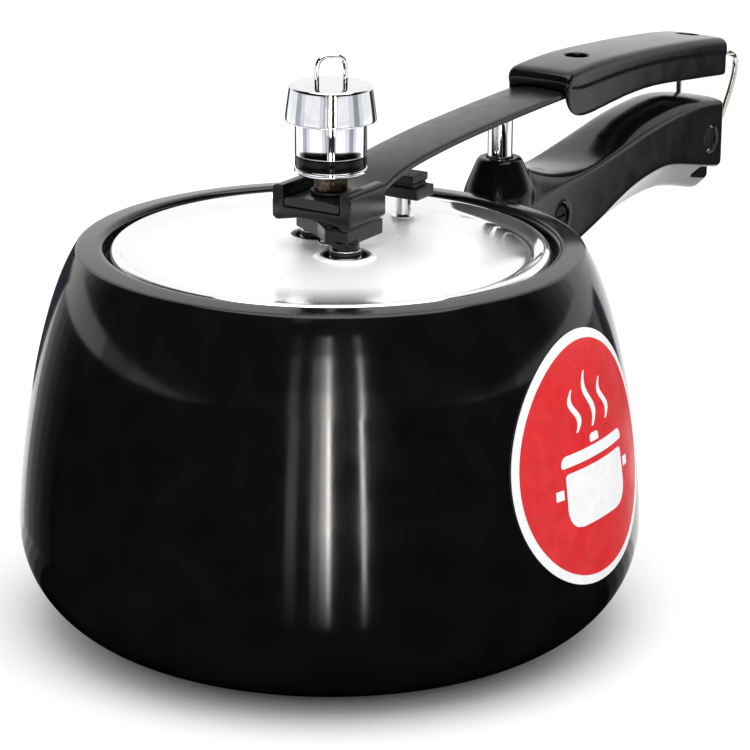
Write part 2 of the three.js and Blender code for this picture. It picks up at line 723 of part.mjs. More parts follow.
function legStud([x, y]) {
  const low = bossLow - 5;
  return turned([
    [0, low], [studRadius, low], [studRadius, seatFloor + gap], [6.3, seatFloor + gap],
    [5.3, seatFloor + 2.6], [studRadius, seatFloor + 2.6], [studRadius, baseTop - 2], [0, baseTop - 2],
  ], 24).translate(x, y, 0);
}

const rubberLow = seatFloor + 2.6 + gap;
const legRubber = ([x, y]) => washer(5.4, studRadius + gap, rubberLow, rubberLow + 1.9).translate(x, y, 0);
const legSteel = ([x, y]) =>
  washer(4.9, studRadius + gap, rubberLow + 1.9 + gap, legLow - gap).translate(x, y, 0);
const legNut = ([x, y]) =>
  hexNut(7, studRadius + gap, bossLow - gap - 3.2, bossLow - gap).translate(x, y, 0);

// ---- vent tube ----

const barTopAtVent = bodyHeight + barFlat + barCrown;
const ventNutLow = barTopAtVent + gap + 0.8 + gap;
const ventNutTop = ventNutLow + 3.8;
const weightLow = ventNutTop + 1.4;
const ventTop = weightLow + 3.6;

function ventTube() {
  const low = bossLow - 6.7;
  const shoulder = lidTop + gap;
  return turned([
    [ventBore, low], [ventRadius, low], [ventRadius, shoulder], [ventRadius + ventCollar, shoulder],
    [ventRadius + ventCollar, shoulder + 1.4], [ventRadius, shoulder + 1.4],
    [ventRadius, ventTop - 0.8], [ventRadius - 0.8, ventTop], [ventBore, ventTop],
  ], 20);
}

const ventNutUnder = () =>
  hexNut(2 * ventRadius + 3.6, ventRadius + gap, bossLow - gap - 4, bossLow - gap);
const ventWasher = () =>
  washer(ventRadius + 3.3, ventRadius + gap, barTopAtVent + gap, barTopAtVent + gap + 0.8);
const ventHexNut = () => hexNut(2 * ventRadius + ventNutRoom, ventRadius + gap, ventNutLow, ventNutTop);

// ---- vent weight ----

const ringTop = weightLow + 2;
const bandLow = ringTop + gap;
const bandTop = bandLow + bandHeight;
const capLow = bandTop + gap + weightHeight;
const neckRadius = weightRadius - 3.4;
const ventRoom = ventRadius + 0.9;
const pinRadius = 1.4;
const capRoom = weightRadius - 2.4;
const capRoomTop = capLow + 6;

const weightBaseRing = () =>
  turned([[ventRoom, weightLow], [weightRadius - 0.4, weightLow], [weightRadius + 0.2, weightLow + 0.6],
    [weightRadius + 0.2, ringTop - 0.4], [weightRadius - 0.1, ringTop], [ventRoom, ringTop]], 28);
const weightBand = () => washer(weightRadius - 0.05, neckRadius + gap, bandLow, bandTop, 28);

function weightBody() {
  const seat = ventTop + gap;
  return turned([
    [0, capRoomTop - gap], [capRoom - gap, capRoomTop - gap], [capRoom - gap, capLow],
    [weightRadius, capLow], [weightRadius, bandTop + gap], [neckRadius, bandTop + gap],
    [neckRadius, bandLow], [ventRoom, bandLow], [ventRoom, seat + 1],
    [pinRadius + gap, seat + 1], [pinRadius + gap, seat + 9], [0, seat + 9],
  ].reverse(), 28);
}

function weightSeatPin() {
  const tip = ventTop + gap;
  return turned([[0, tip], [0.5, tip], [pinRadius, tip + 1.4], [pinRadius, tip + 8.4], [0, tip + 8.4]], 12);
}

function weightCap() {
  const low = capLow + gap;
  const top = low + capHeight;
  const holes = [-1, 1].map((side) => rod(fingerWire + gap, top - 4, top + 5, 10)
    .translate((side * fingerRingWidth) / 2, 0, 0).rotateZ(rad(fingerTurn)));
  const shell = turned([
    [0, capRoomTop + gap], [capRoom + gap, capRoomTop + gap], [capRoom + gap, low], [capRadius - 0.5, low],
    [capRadius, low + 0.6], [capTopRadius, top - 3.4], [capTopRadius - 1, top - 1.6],
    [capTopRadius - 3, top - 0.7], [capTopRadius - 6, top - 0.3], [0, top],
  ], 32);
  return cut(shell, ...holes);
}

function weightFingerRing() {
  const top = capLow + gap + capHeight;
  const h = fingerRingWidth / 2;
  const half = [[h, -3.2], [h, 0], [h + 0.1, 4], [h - 0.3, fingerRingHeight - 2.6],
    [h - 2.2, fingerRingHeight - fingerWire - 0.2]];
  const points = [
    ...half.map(([x, z]) => V3(-x, 0, top + z)),
    ...half.reverse().map(([x, z]) => V3(x, 0, top + z)),
  ];
  return roundTube(points, fingerWire, 8, 30).rotateZ(rad(fingerTurn));
}

// ---- safety valve ----

const valveLow = lidTop + valveRise;
const valveUnder = lidTop - lidThick - 0.9 - gap; // below the lid's underside beside the valve

function safetyValveBody() {
  const flange = box(-5.2, 5.2, -8.6, 8.6, valveLow, valveLow + 3.8);
  const neck = box(-4.2, 4.2, -6.1, 6.1, valveLow + 3.5, valveLow + 5.4);
  const head = box(-4.6, 4.6, -6.6, 6.6, valveLow + 5.2, valveLow + 7.6);
  const hole = rod(valveStem + gap, valveLow - 1, valveLow + 4);
  return cut(joined(flange, neck, head), hole).translate(valveX, 0, 0);
}

function safetyValveStem() {
  const shoulder = lidTop + valveWasher + gap;
  return turned([
    [0, valveUnder - 5], [valveStem, valveUnder - 5], [valveStem, shoulder], [valveStem + 0.6, shoulder],
    [valveStem + 0.6, valveLow - gap], [valveStem, valveLow - gap], [valveStem, valveLow + 3.5],
    [0, valveLow + 3.5],
  ], 16).translate(valveX, 0, 0);
}

const safetyValveWasher = () =>
  washer(valveStem + 2.2, valveStem + gap, lidTop, lidTop + valveWasher).translate(valveX, 0, 0);
const safetyValveNut = () =>
  hexNut(6.6, valveStem + gap, valveUnder - 3.4, valveUnder).translate(valveX, 0, 0);

// ---- label ----

/** A round thin patch that follows the body's side, centred towards -Y. */
function bodyLabel() {
  const rings = 5;
  const around = 36;
  const layers = [gap, gap + labelThick].map((offset) => {
    const points = [];
    for (let i = 0; i <= rings; i += 1) {
      for (let j = 0; j < (i === 0 ? 1 : around); j += 1) {
        const angle = (2 * Math.PI * j) / around;
        const reach = (labelRadius * i) / rings;
        const z = labelHeight + reach * Math.sin(angle);
        const radius = wallRadius(z);
        const turn = (reach * Math.cos(angle)) / wallRadius(labelHeight) - Math.PI / 2;
        points.push(V3((radius + offset) * Math.cos(turn), (radius + offset) * Math.sin(turn), z));
      }
    }
    return points;
  });
  const count = layers[0].length;
  const faces = [];
  const ringStart = (i) => 1 + (i - 1) * around;
  for (const [shift, flip] of [[0, true], [count, false]]) {
    const add = (a, b, c) => faces.push(...(flip ? [a, c, b] : [a, b, c]).map((n) => n + shift));
    for (let j = 0; j < around; j += 1) {
      const k = (j + 1) % around;
      add(0, 1 + j, 1 + k);
      for (let i = 1; i < rings; i += 1) {
        const [a, b] = [ringStart(i) + j, ringStart(i) + k];
        add(a, a + around, b + around);
        add(a, b + around, b);
      }
    }
  }
  const rim = ringStart(rings);
  for (let j = 0; j < around; j += 1) {
    const [a, b] = [rim + j, rim + ((j + 1) % around)];
    faces.push(a, b, b + count, a, b + count, a + count);
  }
  const geometry = new THREE.BufferGeometry().setFromPoints(layers.flat());
  geometry.setIndex(faces);
  return solid(geometry);
}

/** The body's outer radius at a height anywhere from the base to the rim. */
function wallRadius(z) {
  if (z > cornerRadius + 0.01) return wallAt(z).radius;
  const rise = cornerRadius - z;
  return bodyRadius - cornerRadius + Math.sqrt(cornerRadius ** 2 - rise ** 2);
}

// ---- materials and assembly ----

const finish = (color, roughness, metalness) =>
  new THREE.MeshStandardMaterial({ color, roughness, metalness });
const finishes = {
  anodised: () => finish(0x15181a, 0.35, 0.4),
  bakelite: () => finish(0x0d0f10, 0.35, 0),
  paint: () => finish(0x1c2124, 0.4, 0.2),
  mirror: () => finish(0xd9dadd, 0.08, 1),
  steel: () => finish(0xb4b6b8, 0.3, 1),
  brass: () => finish(0x8a6f45, 0.35, 1),
  rubber: () => finish(0x161616, 0.7, 0),
  label: () => finish(0xd8232a, 0.35, 0),
};

const cooker = new THREE.Group();

function addPart(name, shape, material) {
  const mesh = new THREE.Mesh(geometryOf(asSolid(shape)), finishes[material]());
  mesh.name = name;
  cooker.add(mesh);
}

addPart("cooker_body", bodyShell(), "anodised");
addPart("body_label", bodyLabel(), "label");
addPart("handle_bracket", handleBracket(), "steel");
addPart("bracket_rivet_left", rivet(1), "steel");
addPart("bracket_rivet_right", rivet(-1), "steel");
addPart("body_handle", bodyHandle(), "bakelite");
addPart("body_handle_screw", bodyHandleScrew(), "steel");
addPart("body_handle_nut", bodyHandleNut(), "steel");
addPart("fulcrum_post", fulcrumPost(), "mirror");
addPart("fulcrum_post_nut", fulcrumNut(), "steel");
addPart("loop_pivot_pin", loopPivotPin(), "steel");
addPart("lock_loop", lockLoop(), "steel");

addPart("lid", lid(), "mirror");
addPart("gasket", gasket(), "rubber");
addPart("lid_bar", lidBar(), "paint");
addPart("bar_saddle", barSaddle(), "bakelite");
addPart("bracket_base", bracketBase(), "bakelite");
for (const [i, place] of legPlaces.entries()) {
  const side = ["front", "rear"][i];
  addPart(`leg_stud_${side}`, legStud(place), "steel");
  addPart(`leg_rubber_washer_${side}`, legRubber(place), "rubber");
  addPart(`leg_steel_washer_${side}`, legSteel(place), "steel");
  addPart(`leg_nut_${side}`, legNut(place), "steel");
}
addPart("vent_tube", ventTube(), "steel");
addPart("vent_tube_nut", ventNutUnder(), "steel");
addPart("vent_washer", ventWasher(), "rubber");
addPart("vent_hex_nut", ventHexNut(), "brass");
addPart("safety_valve_body", safetyValveBody(), "bakelite");
addPart("safety_valve_stem", safetyValveStem(), "steel");
addPart("safety_valve_washer", safetyValveWasher(), "steel");
addPart("safety_valve_nut", safetyValveNut(), "steel");
addPart("lid_handle", lidHandle(), "bakelite");
for (const [i, x] of lidScrewX.entries()) {
  addPart(`lid_handle_screw_${["inner", "outer"][i]}`, lidHandleScrew(x), "steel");
}

addPart("weight_base_ring", weightBaseRing(), "mirror");
addPart("weight_band", weightBand(), "rubber");
addPart("weight_body", weightBody(), "mirror");
addPart("weight_seat_pin", weightSeatPin(), "steel");
addPart("weight_cap", weightCap(), "mirror");
addPart("weight_finger_ring", weightFingerRing(), "mirror");

export default cooker;
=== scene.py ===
"""Stovetop pressure cooker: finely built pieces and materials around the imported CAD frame.

Shapes are given in millimetres and made in metres, in the frame's own axes: +Z up from the base,
+X towards the handles, the label towards -Y.
"""

import json
import math

import bmesh
import bpy
from mathutils import Matrix, Quaternion, Vector


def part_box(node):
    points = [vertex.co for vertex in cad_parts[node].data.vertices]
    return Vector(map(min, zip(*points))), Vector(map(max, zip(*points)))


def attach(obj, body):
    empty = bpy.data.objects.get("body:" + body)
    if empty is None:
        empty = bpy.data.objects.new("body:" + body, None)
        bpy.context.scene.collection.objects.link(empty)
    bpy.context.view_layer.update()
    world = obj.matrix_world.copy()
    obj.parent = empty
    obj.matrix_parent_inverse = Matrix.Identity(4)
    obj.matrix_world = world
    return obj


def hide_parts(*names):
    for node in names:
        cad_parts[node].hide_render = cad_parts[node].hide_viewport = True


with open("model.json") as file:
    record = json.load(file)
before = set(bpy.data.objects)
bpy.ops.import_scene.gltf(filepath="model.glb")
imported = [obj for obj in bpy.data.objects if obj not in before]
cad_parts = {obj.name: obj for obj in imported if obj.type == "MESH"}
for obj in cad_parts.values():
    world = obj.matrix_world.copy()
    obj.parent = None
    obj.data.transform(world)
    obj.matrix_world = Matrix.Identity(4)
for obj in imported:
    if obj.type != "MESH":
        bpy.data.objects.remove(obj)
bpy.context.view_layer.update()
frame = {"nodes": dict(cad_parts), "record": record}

MM = 0.001
BODY_OF = {node: body for body, nodes in frame["record"]["behaviour"]["bodies"].items() for node in nodes}


# ---- places read from the frame, in millimetres ----


def low_of(node):
    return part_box(node)[0] / MM


def high_of(node):
    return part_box(node)[1] / MM


def middle_of(node):
    return (low_of(node) + high_of(node)) / 2


# Clearance between pieces that don't touch.
GAP = 0.3
BODY_RADIUS = high_of("cooker_body").x
MOUTH_Z = high_of("cooker_body").z
MOUTH_RADIUS = 71.8
RIM_RADIUS = 81.2
CORNER = 34
FULCRUM_X = middle_of("fulcrum_post").x
POST_TOP = high_of("fulcrum_post").z
LID_TOP = MOUTH_Z - 1.5
SEAT_RADIUS = 7.7
SEAT_RIM = 1.1
SEAT_RISE = 0.9
SEAT_FLOOR = LID_TOP - 3.6
LEG_PLACES = [tuple(middle_of(f"leg_stud_{side}").xy) for side in ("front", "rear")]
HANDLE_HALF = high_of("lid_handle").y
BAR_HALF = high_of("lid_bar").y
BAR_THICK = 3.2
FLANGE_TOP = MOUTH_Z - 8.4
FLANGE_THICK = 2.2
# Along the handles from the fulcrum post, up from the mouth, and out from the middle.
LID_HANDLE_END = 149.4
PIN_ALONG, PIN_DROP = 137, -13.7
SCREW_ALONG, SCREW_DROP = 23, -18.7
LOOP_SLOT = 8.0


# ---- outlines and solids ----


def rounded(points, radius, steps=4, closed=True):
    """The outline with each corner turned into a short curve. A third value is a corner's own radius."""
    result = []
    last = len(points) - 1
    for i, point in enumerate(points):
        here = Vector(point[:2])
        if not closed and i in (0, last):
            result.append(here)
            continue
        reach = point[2] if len(point) > 2 else radius
        back = Vector(points[i - 1][:2]) - here
        ahead = Vector(points[(i + 1) % len(points)][:2]) - here
        start = here + back.normalized() * min(reach, 0.45 * back.length)
        end = here + ahead.normalized() * min(reach, 0.45 * ahead.length)
        for k in range(steps + 1):
            t = k / steps
            result.append(start * (1 - t) ** 2 + here * 2 * t * (1 - t) + end * t * t)
    return result


def smooth_line(points, samples=400):
    """A Catmull-Rom line through (x, y) points, read at any x."""
    ends = [points[0], *points, points[-1]]
    track = []
    for i in range(samples + 1):
        t = i / samples * (len(points) - 1)
        k = min(int(t), len(points) - 2)
        track.append(catmull([Vector(p) for p in ends[k:k + 4]], t - k))
    def height(x):
        i = 1
        while i < samples and track[i].x < x:
            i += 1
        a, b = track[i - 1], track[i]
        return a.y + (x - a.x) / (b.x - a.x) * (b.y - a.y)
    return height


def catmull(p, t):
    a = (p[2] - p[0]) * 0.5
    b = (p[3] - p[1]) * 0.5
    return ((2 * p[1] - 2 * p[2] + a + b) * t ** 3 + (3 * p[2] - 3 * p[1] - 2 * a - b) * t ** 2
            + a * t + p[1])


def lathe(profile, segments=96, centre=(0, 0)):
    """A solid turned about Z. The (radius, height) profile has both ends on the axis, or is closed."""
    vertices, rows = [], []
    x, y = centre
    for radius, z in profile:
        if radius < 1e-6:
            rows.append([len(vertices)] * segments)
            vertices.append((x, y, z))
            continue
        rows.append(range(len(vertices), len(vertices) + segments))
        for k in range(segments):
            angle = 2 * math.pi * k / segments
            vertices.append((x + radius * math.cos(angle), y + radius * math.sin(angle), z))
    if profile[0][0] > 1e-6:
        rows.append(rows[0])
    return vertices, wall_faces(rows, segments)


def wall_faces(rows, segments):
    faces = []
    for low, high in zip(rows, rows[1:]):
        for k in range(segments):
            n = (k + 1) % segments
            face = []
            for vertex in (low[k], low[n], high[n], high[k]):
                if vertex not in face:
                    face.append(vertex)
            if len(face) > 2:
                faces.append(face)
    return faces


def loft(rings):
    """A solid through rings of 3-D points, closed by a face at each end."""
    count = len(rings[0])
    vertices = [point for ring in rings for point in ring]
    rows = [range(i * count, (i + 1) * count) for i in range(len(rings))]
    faces = wall_faces(rows, count)
    faces += [list(reversed(rows[0])), list(rows[-1])]
    return vertices, faces


def mirrored(half, radius, steps=4):
    """A rounded outline in Y and Z from the points of its +Y half, bottom to top."""
    other = [(-p[0], *p[1:]) for p in reversed(half) if p[0] > 0]
    return rounded([*half, *other], radius, steps)


def across(x, outline):
    return [(x, y, z) for y, z in outline]


def tube(points, radius, sides=20, per_span=10):
    """A round wire through points, with flat ends."""
    path = [Vector(p) for p in points]
    ends = [2 * path[0] - path[1], *path, 2 * path[-1] - path[-2]]
    track = []
    for i in range(len(path) - 1):
        for k in range(per_span):
            track.append(catmull(ends[i:i + 4], k / per_span))
    track.append(path[-1])
    rings = []
    side = None
    for i, here in enumerate(track):
        along = (track[min(i + 1, len(track) - 1)] - track[max(i - 1, 0)]).normalized()
        if side is None:
            side = along.orthogonal().normalized()
        side = (side - along * side.dot(along)).normalized()
        up = along.cross(side)
        rings.append([here + (side * math.cos(a) + up * math.sin(a)) * radius
                      for a in (2 * math.pi * k / sides for k in range(sides))])
    return loft(rings)


def nut(flats, bore, low, high):
    """A hexagonal nut about Z with chamfered corners and a countersunk bore."""
    segments, chamfer = 96, 0.7
    def side(angle):
        return flats / 2 / math.cos((angle + math.pi / 6) % (math.pi / 3) - math.pi / 6)
    limit = flats / 2 * 1.03
    levels = [(bore, low + 0.4, 0), (bore + 0.4, low, 0), (limit, low, 1), (None, low + chamfer, 1),
              (None, high - chamfer, 1), (limit, high, 1), (bore + 0.4, high, 0), (bore, high - 0.4, 0)]
    vertices, rows = [], []
    for radius, z, outer in levels:
        rows.append(range(len(vertices), len(vertices) + segments))
        for k in range(segments):
            angle = 2 * math.pi * k / segments
            r = side(angle) if radius is None else radius
            r = min(r, side(angle)) if outer else r
            vertices.append((r * math.cos(angle), r * math.sin(angle), z))
    rows.append(rows[0])
    return vertices, wall_faces(rows, segments)


def block(x0, x1, y0, y1, z0, z1):
    return loft([[(x, y0, z0), (x, y1, z0), (x, y1, z1), (x, y0, z1)] for x in (x0, x1)])


def turned_to_y(shape, x, z):
    """A shape made about Z, laid along Y through a point in the XZ plane."""
    vertices, faces = shape
    return [(x + a, c, z - b) for a, b, c in vertices], faces


# ---- objects ----


def mesh_object(name, shape):
    vertices, faces = shape
    mesh = bpy.data.meshes.new(name)
    mesh.from_pydata([Vector(v) * MM for v in vertices], [], faces)
    obj = bpy.data.objects.new(name, mesh)
    bpy.context.scene.collection.objects.link(obj)
    build = bmesh.new()
    build.from_mesh(mesh)
    bmesh.ops.recalc_face_normals(build, faces=build.faces)
    build.to_mesh(mesh)
    build.free()
    return obj


def apply_modifiers(obj):
    bpy.context.view_layer.update()
    graph = bpy.context.evaluated_depsgraph_get()
    mesh = bpy.data.meshes.new_from_object(obj.evaluated_get(graph))
    obj.modifiers.clear()
    obj.data = mesh


def combine(obj, tools, operation):
    """Joins the tools to the object or cuts them from it."""
    for shape in tools:
        tool = mesh_object("tool", shape)
        step = obj.modifiers.new("step", "BOOLEAN")
        step.operation = operation
        step.solver = "EXACT"
        step.object = tool
        apply_modifiers(obj)
        bpy.data.objects.remove(tool)


def soften(obj, voxel, rounds):
    """Rebuilds the surface evenly and rounds its edges, as a moulded piece's are."""
    even = obj.modifiers.new("even", "REMESH")
    even.mode = "VOXEL"
    even.voxel_size = voxel * MM
    ease = obj.modifiers.new("ease", "SMOOTH")
    ease.factor = 0.5
    ease.iterations = rounds
    apply_modifiers(obj)


def copy_of(node):
    obj = bpy.data.objects.new(f"{node}_fine", frame["nodes"][node].data.copy())
    bpy.context.scene.collection.objects.link(obj)
    return obj


def dress(obj, body, material, sharp=38):
    mesh = obj.data
    mesh.materials.clear()
    mesh.materials.append(material)
    mesh.polygons.foreach_set("use_smooth", [True] * len(mesh.polygons))
    mesh.set_sharp_from_angle(angle=math.radians(sharp))
    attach(obj, body)
    return obj


def stand_for(node, obj, material, sharp=38):
    """Puts a finished piece in a CAD node's place."""
    obj.name = f"{node}_fine"
    dress(obj, BODY_OF[node], material, sharp)
    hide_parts(node)
    return obj


def fine(node, shape, material, sharp=38):
    return stand_for(node, mesh_object(f"{node}_fine", shape), material, sharp)


# ---- materials ----


class Surface:
    """A material with its own grain. Sizes of grain and heights of relief are in millimetres."""

    def __init__(self, name, colour, roughness, metallic=0.0, specular=0.5):
        self.material = bpy.data.materials.new(name)
        self.material.use_nodes = True
        self.tree = self.material.node_tree
        self.shader = self.tree.nodes["Principled BSDF"]
        self.shader.inputs["Base Color"].default_value = (*colour, 1)
        self.shader.inputs["Roughness"].default_value = roughness
        self.shader.inputs["Metallic"].default_value = metallic
        self.shader.inputs["Specular IOR Level"].default_value = specular
        self.place = self.add("ShaderNodeTexCoord").outputs["Object"]
        self.normal = None

    def add(self, kind, **inputs):
        node = self.tree.nodes.new(kind)
        for name, value in inputs.items():
            self.give(node.inputs[name.replace("_", " ")], value)
        return node

    def give(self, socket, value):
        if isinstance(value, bpy.types.NodeSocket):
            self.tree.links.new(value, socket)
        else:
            socket.default_value = value

    def grain(self, size, detail=3.0, stretch=(1, 1, 1), place=None):
        """Noise whose spots are about size across, drawn out by stretch."""
        scale = tuple(1 / (size * MM * s) for s in stretch)
        mapping = self.add("ShaderNodeMapping", Vector=place or self.place, Scale=scale)
        noise = self.add("ShaderNodeTexNoise", Vector=mapping.outputs[0], Scale=1.0, Detail=detail)
        return noise.outputs["Fac"]

    def mapped(self, source, low, high, start, end):
        """The source's range from low to high, turned into start to end."""
        span = self.add("ShaderNodeMapRange", Value=source)
        for name, value in (("From Min", low), ("From Max", high), ("To Min", start), ("To Max", end)):
            span.inputs[name].default_value = value
        return span.outputs[0]

    def distance(self):
        """Distance from the Z axis, in metres."""
        split = self.add("ShaderNodeSeparateXYZ", Vector=self.place)
        flat = self.add("ShaderNodeCombineXYZ", X=split.outputs[0], Y=split.outputs[1], Z=0.0)
        reach = self.tree.nodes.new("ShaderNodeVectorMath")
        reach.operation = "LENGTH"
        self.tree.links.new(flat.outputs[0], reach.inputs[0])
        return reach.outputs["Value"]

    def turned(self, size, detail=2.0):
        """Noise that runs in circles about Z, as a lathe or a polishing wheel leaves it."""
        height = self.add("ShaderNodeSeparateXYZ", Vector=self.place).outputs[2]
        line = self.add("ShaderNodeCombineXYZ", X=self.distance(), Y=0.0, Z=height)
        return self.grain(size, detail, place=line.outputs[0])

    def tint(self, source, dark, light):
        """Colour that runs from dark to light with the source."""
        mix = self.tree.nodes.new("ShaderNodeMix")
        mix.data_type = "RGBA"
        self.give(mix.inputs[0], self.mapped(source, 0.35, 0.65, 0, 1))
        mix.inputs[6].default_value = (*dark, 1)
        mix.inputs[7].default_value = (*light, 1)
        self.give(self.shader.inputs["Base Color"], mix.outputs[2])
        return self

    def gloss(self, source, smooth, rough, low=0.3, high=0.7):
        """Roughness that runs from smooth to rough with the source."""
        self.give(self.shader.inputs["Roughness"], self.mapped(source, low, high, smooth, rough))
        return self

    def relief(self, source, height):
        """Bumps of the given height, added to those before."""
        bump = self.add("ShaderNodeBump", Height=source, Strength=1.0, Distance=height * MM)
        if self.normal:
            self.give(bump.inputs["Normal"], self.normal)
        self.normal = bump.outputs[0]
        self.give(self.shader.inputs["Normal"], self.normal)
        return self


def anodised():
    surface = Surface("hard_anodised", (0.003, 0.0035, 0.0035), 0.15, specular=0.42)
    surface.tint(surface.grain(14), (0.0022, 0.0027, 0.0028), (0.0038, 0.0044, 0.0045))
    surface.gloss(surface.grain(9, 4), 0.09, 0.13)
    surface.relief(surface.turned(0.9), 0.0005)
    surface.relief(surface.grain(0.35, 2), 0.0003)
    return surface.material


def bakelite():
    surface = Surface("bakelite", (0.003, 0.0033, 0.0032), 0.16, specular=0.35)
    surface.tint(surface.grain(6), (0.0024, 0.0027, 0.0027), (0.0038, 0.0041, 0.0039))
    surface.gloss(surface.grain(9, 3), 0.12, 0.2)
    surface.relief(surface.grain(2.5, 1), 0.0008)
    return surface.material


def rough_bakelite():
    surface = Surface("rough_bakelite", (0.006, 0.006, 0.006), 0.4)
    surface.tint(surface.grain(3), (0.004, 0.004, 0.0035), (0.009, 0.009, 0.008))
    surface.gloss(surface.grain(2, 4), 0.34, 0.5)
    surface.relief(surface.grain(0.5, 3), 0.006)
    return surface.material


def bar_paint():
    surface = Surface("bar_paint", (0.006, 0.0078, 0.0088), 0.3, specular=0.45)
    surface.tint(surface.grain(8), (0.005, 0.0066, 0.0075), (0.0072, 0.009, 0.0102))
    surface.gloss(surface.grain(6, 3), 0.24, 0.32)
    surface.relief(surface.grain(1.4, 2), 0.001)
    return surface.material


def mirror():
    surface = Surface("mirror_steel", (0.95, 0.95, 0.965), 0.05, 1.0)
    surface.tint(surface.grain(30), (0.93, 0.93, 0.95), (0.97, 0.97, 0.98))
    surface.gloss(surface.distance(), 0.34, 0.07, 0.044, 0.06)
    # Metallic falls towards the middle so the pale base colour shows there as diffuse white: a painted
    # white reflection, which also mutes the reflected bracket.
    painted_white_reflection = surface.mapped(surface.distance(), 0.046, 0.062, 0.35, 0.97)
    surface.give(surface.shader.inputs["Metallic"], painted_white_reflection)
    surface.relief(surface.turned(1.6), 0.0004)
    return surface.material


def chrome():
    surface = Surface("chrome", (0.86, 0.87, 0.89), 0.05, 1.0)
    surface.tint(surface.grain(4), (0.83, 0.84, 0.87), (0.89, 0.9, 0.91))
    surface.gloss(surface.turned(0.25, 4), 0.03, 0.08)
    surface.relief(surface.turned(0.5), 0.0003)
    return surface.material


def steel():
    surface = Surface("zinc_steel", (0.55, 0.56, 0.57), 0.28, 1.0)
    surface.tint(surface.grain(1.5), (0.46, 0.47, 0.48), (0.62, 0.63, 0.64))
    surface.gloss(surface.grain(0.6, 4), 0.2, 0.38)
    surface.relief(surface.turned(0.2), 0.002)
    return surface.material


def blackened_steel():
    surface = Surface("blackened_steel", (0.02, 0.02, 0.02), 0.45, 1.0)
    surface.tint(surface.grain(1.2), (0.012, 0.012, 0.012), (0.03, 0.03, 0.031))
    surface.gloss(surface.grain(0.7, 3), 0.38, 0.55)
    surface.relief(surface.grain(0.4, 2), 0.003)
    return surface.material


def drawn_wire():
    surface = Surface("drawn_wire", (0.66, 0.62, 0.56), 0.16, 1.0)
    surface.tint(surface.grain(1.2), (0.6, 0.55, 0.48), (0.72, 0.69, 0.64))
    surface.gloss(surface.grain(0.4, 3, (0.3, 0.3, 4)), 0.1, 0.24)
    surface.relief(surface.grain(0.2, 2, (0.3, 0.3, 6)), 0.001)
    return surface.material


def bronze():
    surface = Surface("bronze", (0.14, 0.11, 0.07), 0.4, 1.0)
    surface.tint(surface.grain(0.9, 4), (0.06, 0.046, 0.03), (0.21, 0.165, 0.105))
    surface.gloss(surface.grain(0.6, 4), 0.28, 0.55)
    surface.relief(surface.grain(0.3, 3), 0.012)
    return surface.material


def rubber():
    surface = Surface("rubber", (0.006, 0.006, 0.006), 0.5)
    surface.tint(surface.grain(2), (0.004, 0.004, 0.004), (0.01, 0.01, 0.01))
    surface.gloss(surface.grain(0.8, 3), 0.4, 0.6)
    surface.relief(surface.grain(0.3, 2), 0.004)
    return surface.material


def band_plastic():
    surface = Surface("band_plastic", (0.003, 0.003, 0.0035), 0.1, specular=0.16)
    surface.tint(surface.grain(3), (0.0022, 0.0022, 0.003), (0.0042, 0.004, 0.0055))
    surface.gloss(surface.grain(1.5, 3), 0.08, 0.18)
    surface.relief(surface.turned(0.4), 0.001)
    return surface.material


def label_print(name, dark, light):
    surface = Surface(name, light, 0.35)
    surface.tint(surface.grain(5), dark, light)
    surface.gloss(surface.grain(7, 4), 0.28, 0.42)
    surface.relief(surface.grain(0.6, 2), 0.0025)
    return surface.material


ANODISED = anodised()
BAKELITE = bakelite()
ROUGH_BAKELITE = rough_bakelite()
BAR_PAINT = bar_paint()
MIRROR = mirror()
CHROME = chrome()
STEEL = steel()
DARK_STEEL = blackened_steel()
WIRE = drawn_wire()
BRONZE = bronze()
RUBBER = rubber()
BAND = band_plastic()
LABEL_RED = label_print("label_red", (0.62, 0.012, 0.016), (0.7, 0.018, 0.022))
LABEL_WHITE = label_print("label_white", (0.78, 0.78, 0.79), (0.84, 0.84, 0.85))


# ---- cooker body ----


def bezier(a, b, c, d, t):
    s = 1 - t
    return a * s ** 3 + b * 3 * s * s * t + c * 3 * s * t * t + d * t ** 3


def side_curve(offset, count):
    """The side from the widest point to the rim, moved outwards by offset."""
    lean = math.radians(32)
    end = Vector((RIM_RADIUS, MOUTH_Z - 2.1))
    rise, pull = 17.1, 24.2
    control = [Vector((BODY_RADIUS, CORNER)), Vector((BODY_RADIUS, CORNER + rise)),
               Vector((end.x + pull * math.sin(lean), end.y - pull * math.cos(lean))), end]
    points = []
    for i in range(count + 1):
        t = i / count
        ahead = bezier(*control, min(t + 0.001, 1)) - bezier(*control, max(t - 0.001, 0))
        ahead.normalize()
        points.append(bezier(*control, t) + Vector((ahead.y, -ahead.x)) * offset)
    return points


SIDE = side_curve(0, 200)


def wall_radius(z):
    """Outer radius of the body at a height."""
    if z < CORNER:
        return BODY_RADIUS - CORNER + math.sqrt(CORNER ** 2 - (CORNER - z) ** 2)
    i = next(i for i, p in enumerate(SIDE) if p.y >= z and i > 0)
    a, b = SIDE[i - 1], SIDE[i]
    return a.x + (z - a.y) / (b.y - a.y) * (b.x - a.x)


def corner_curve(offset, count):
    points = []
    for i in range(count + 1):
        angle = math.pi / 2 * i / count
        points.append(Vector((BODY_RADIUS - CORNER + (CORNER + offset) * math.sin(angle),
                              CORNER - (CORNER + offset) * math.cos(angle))))
    return points


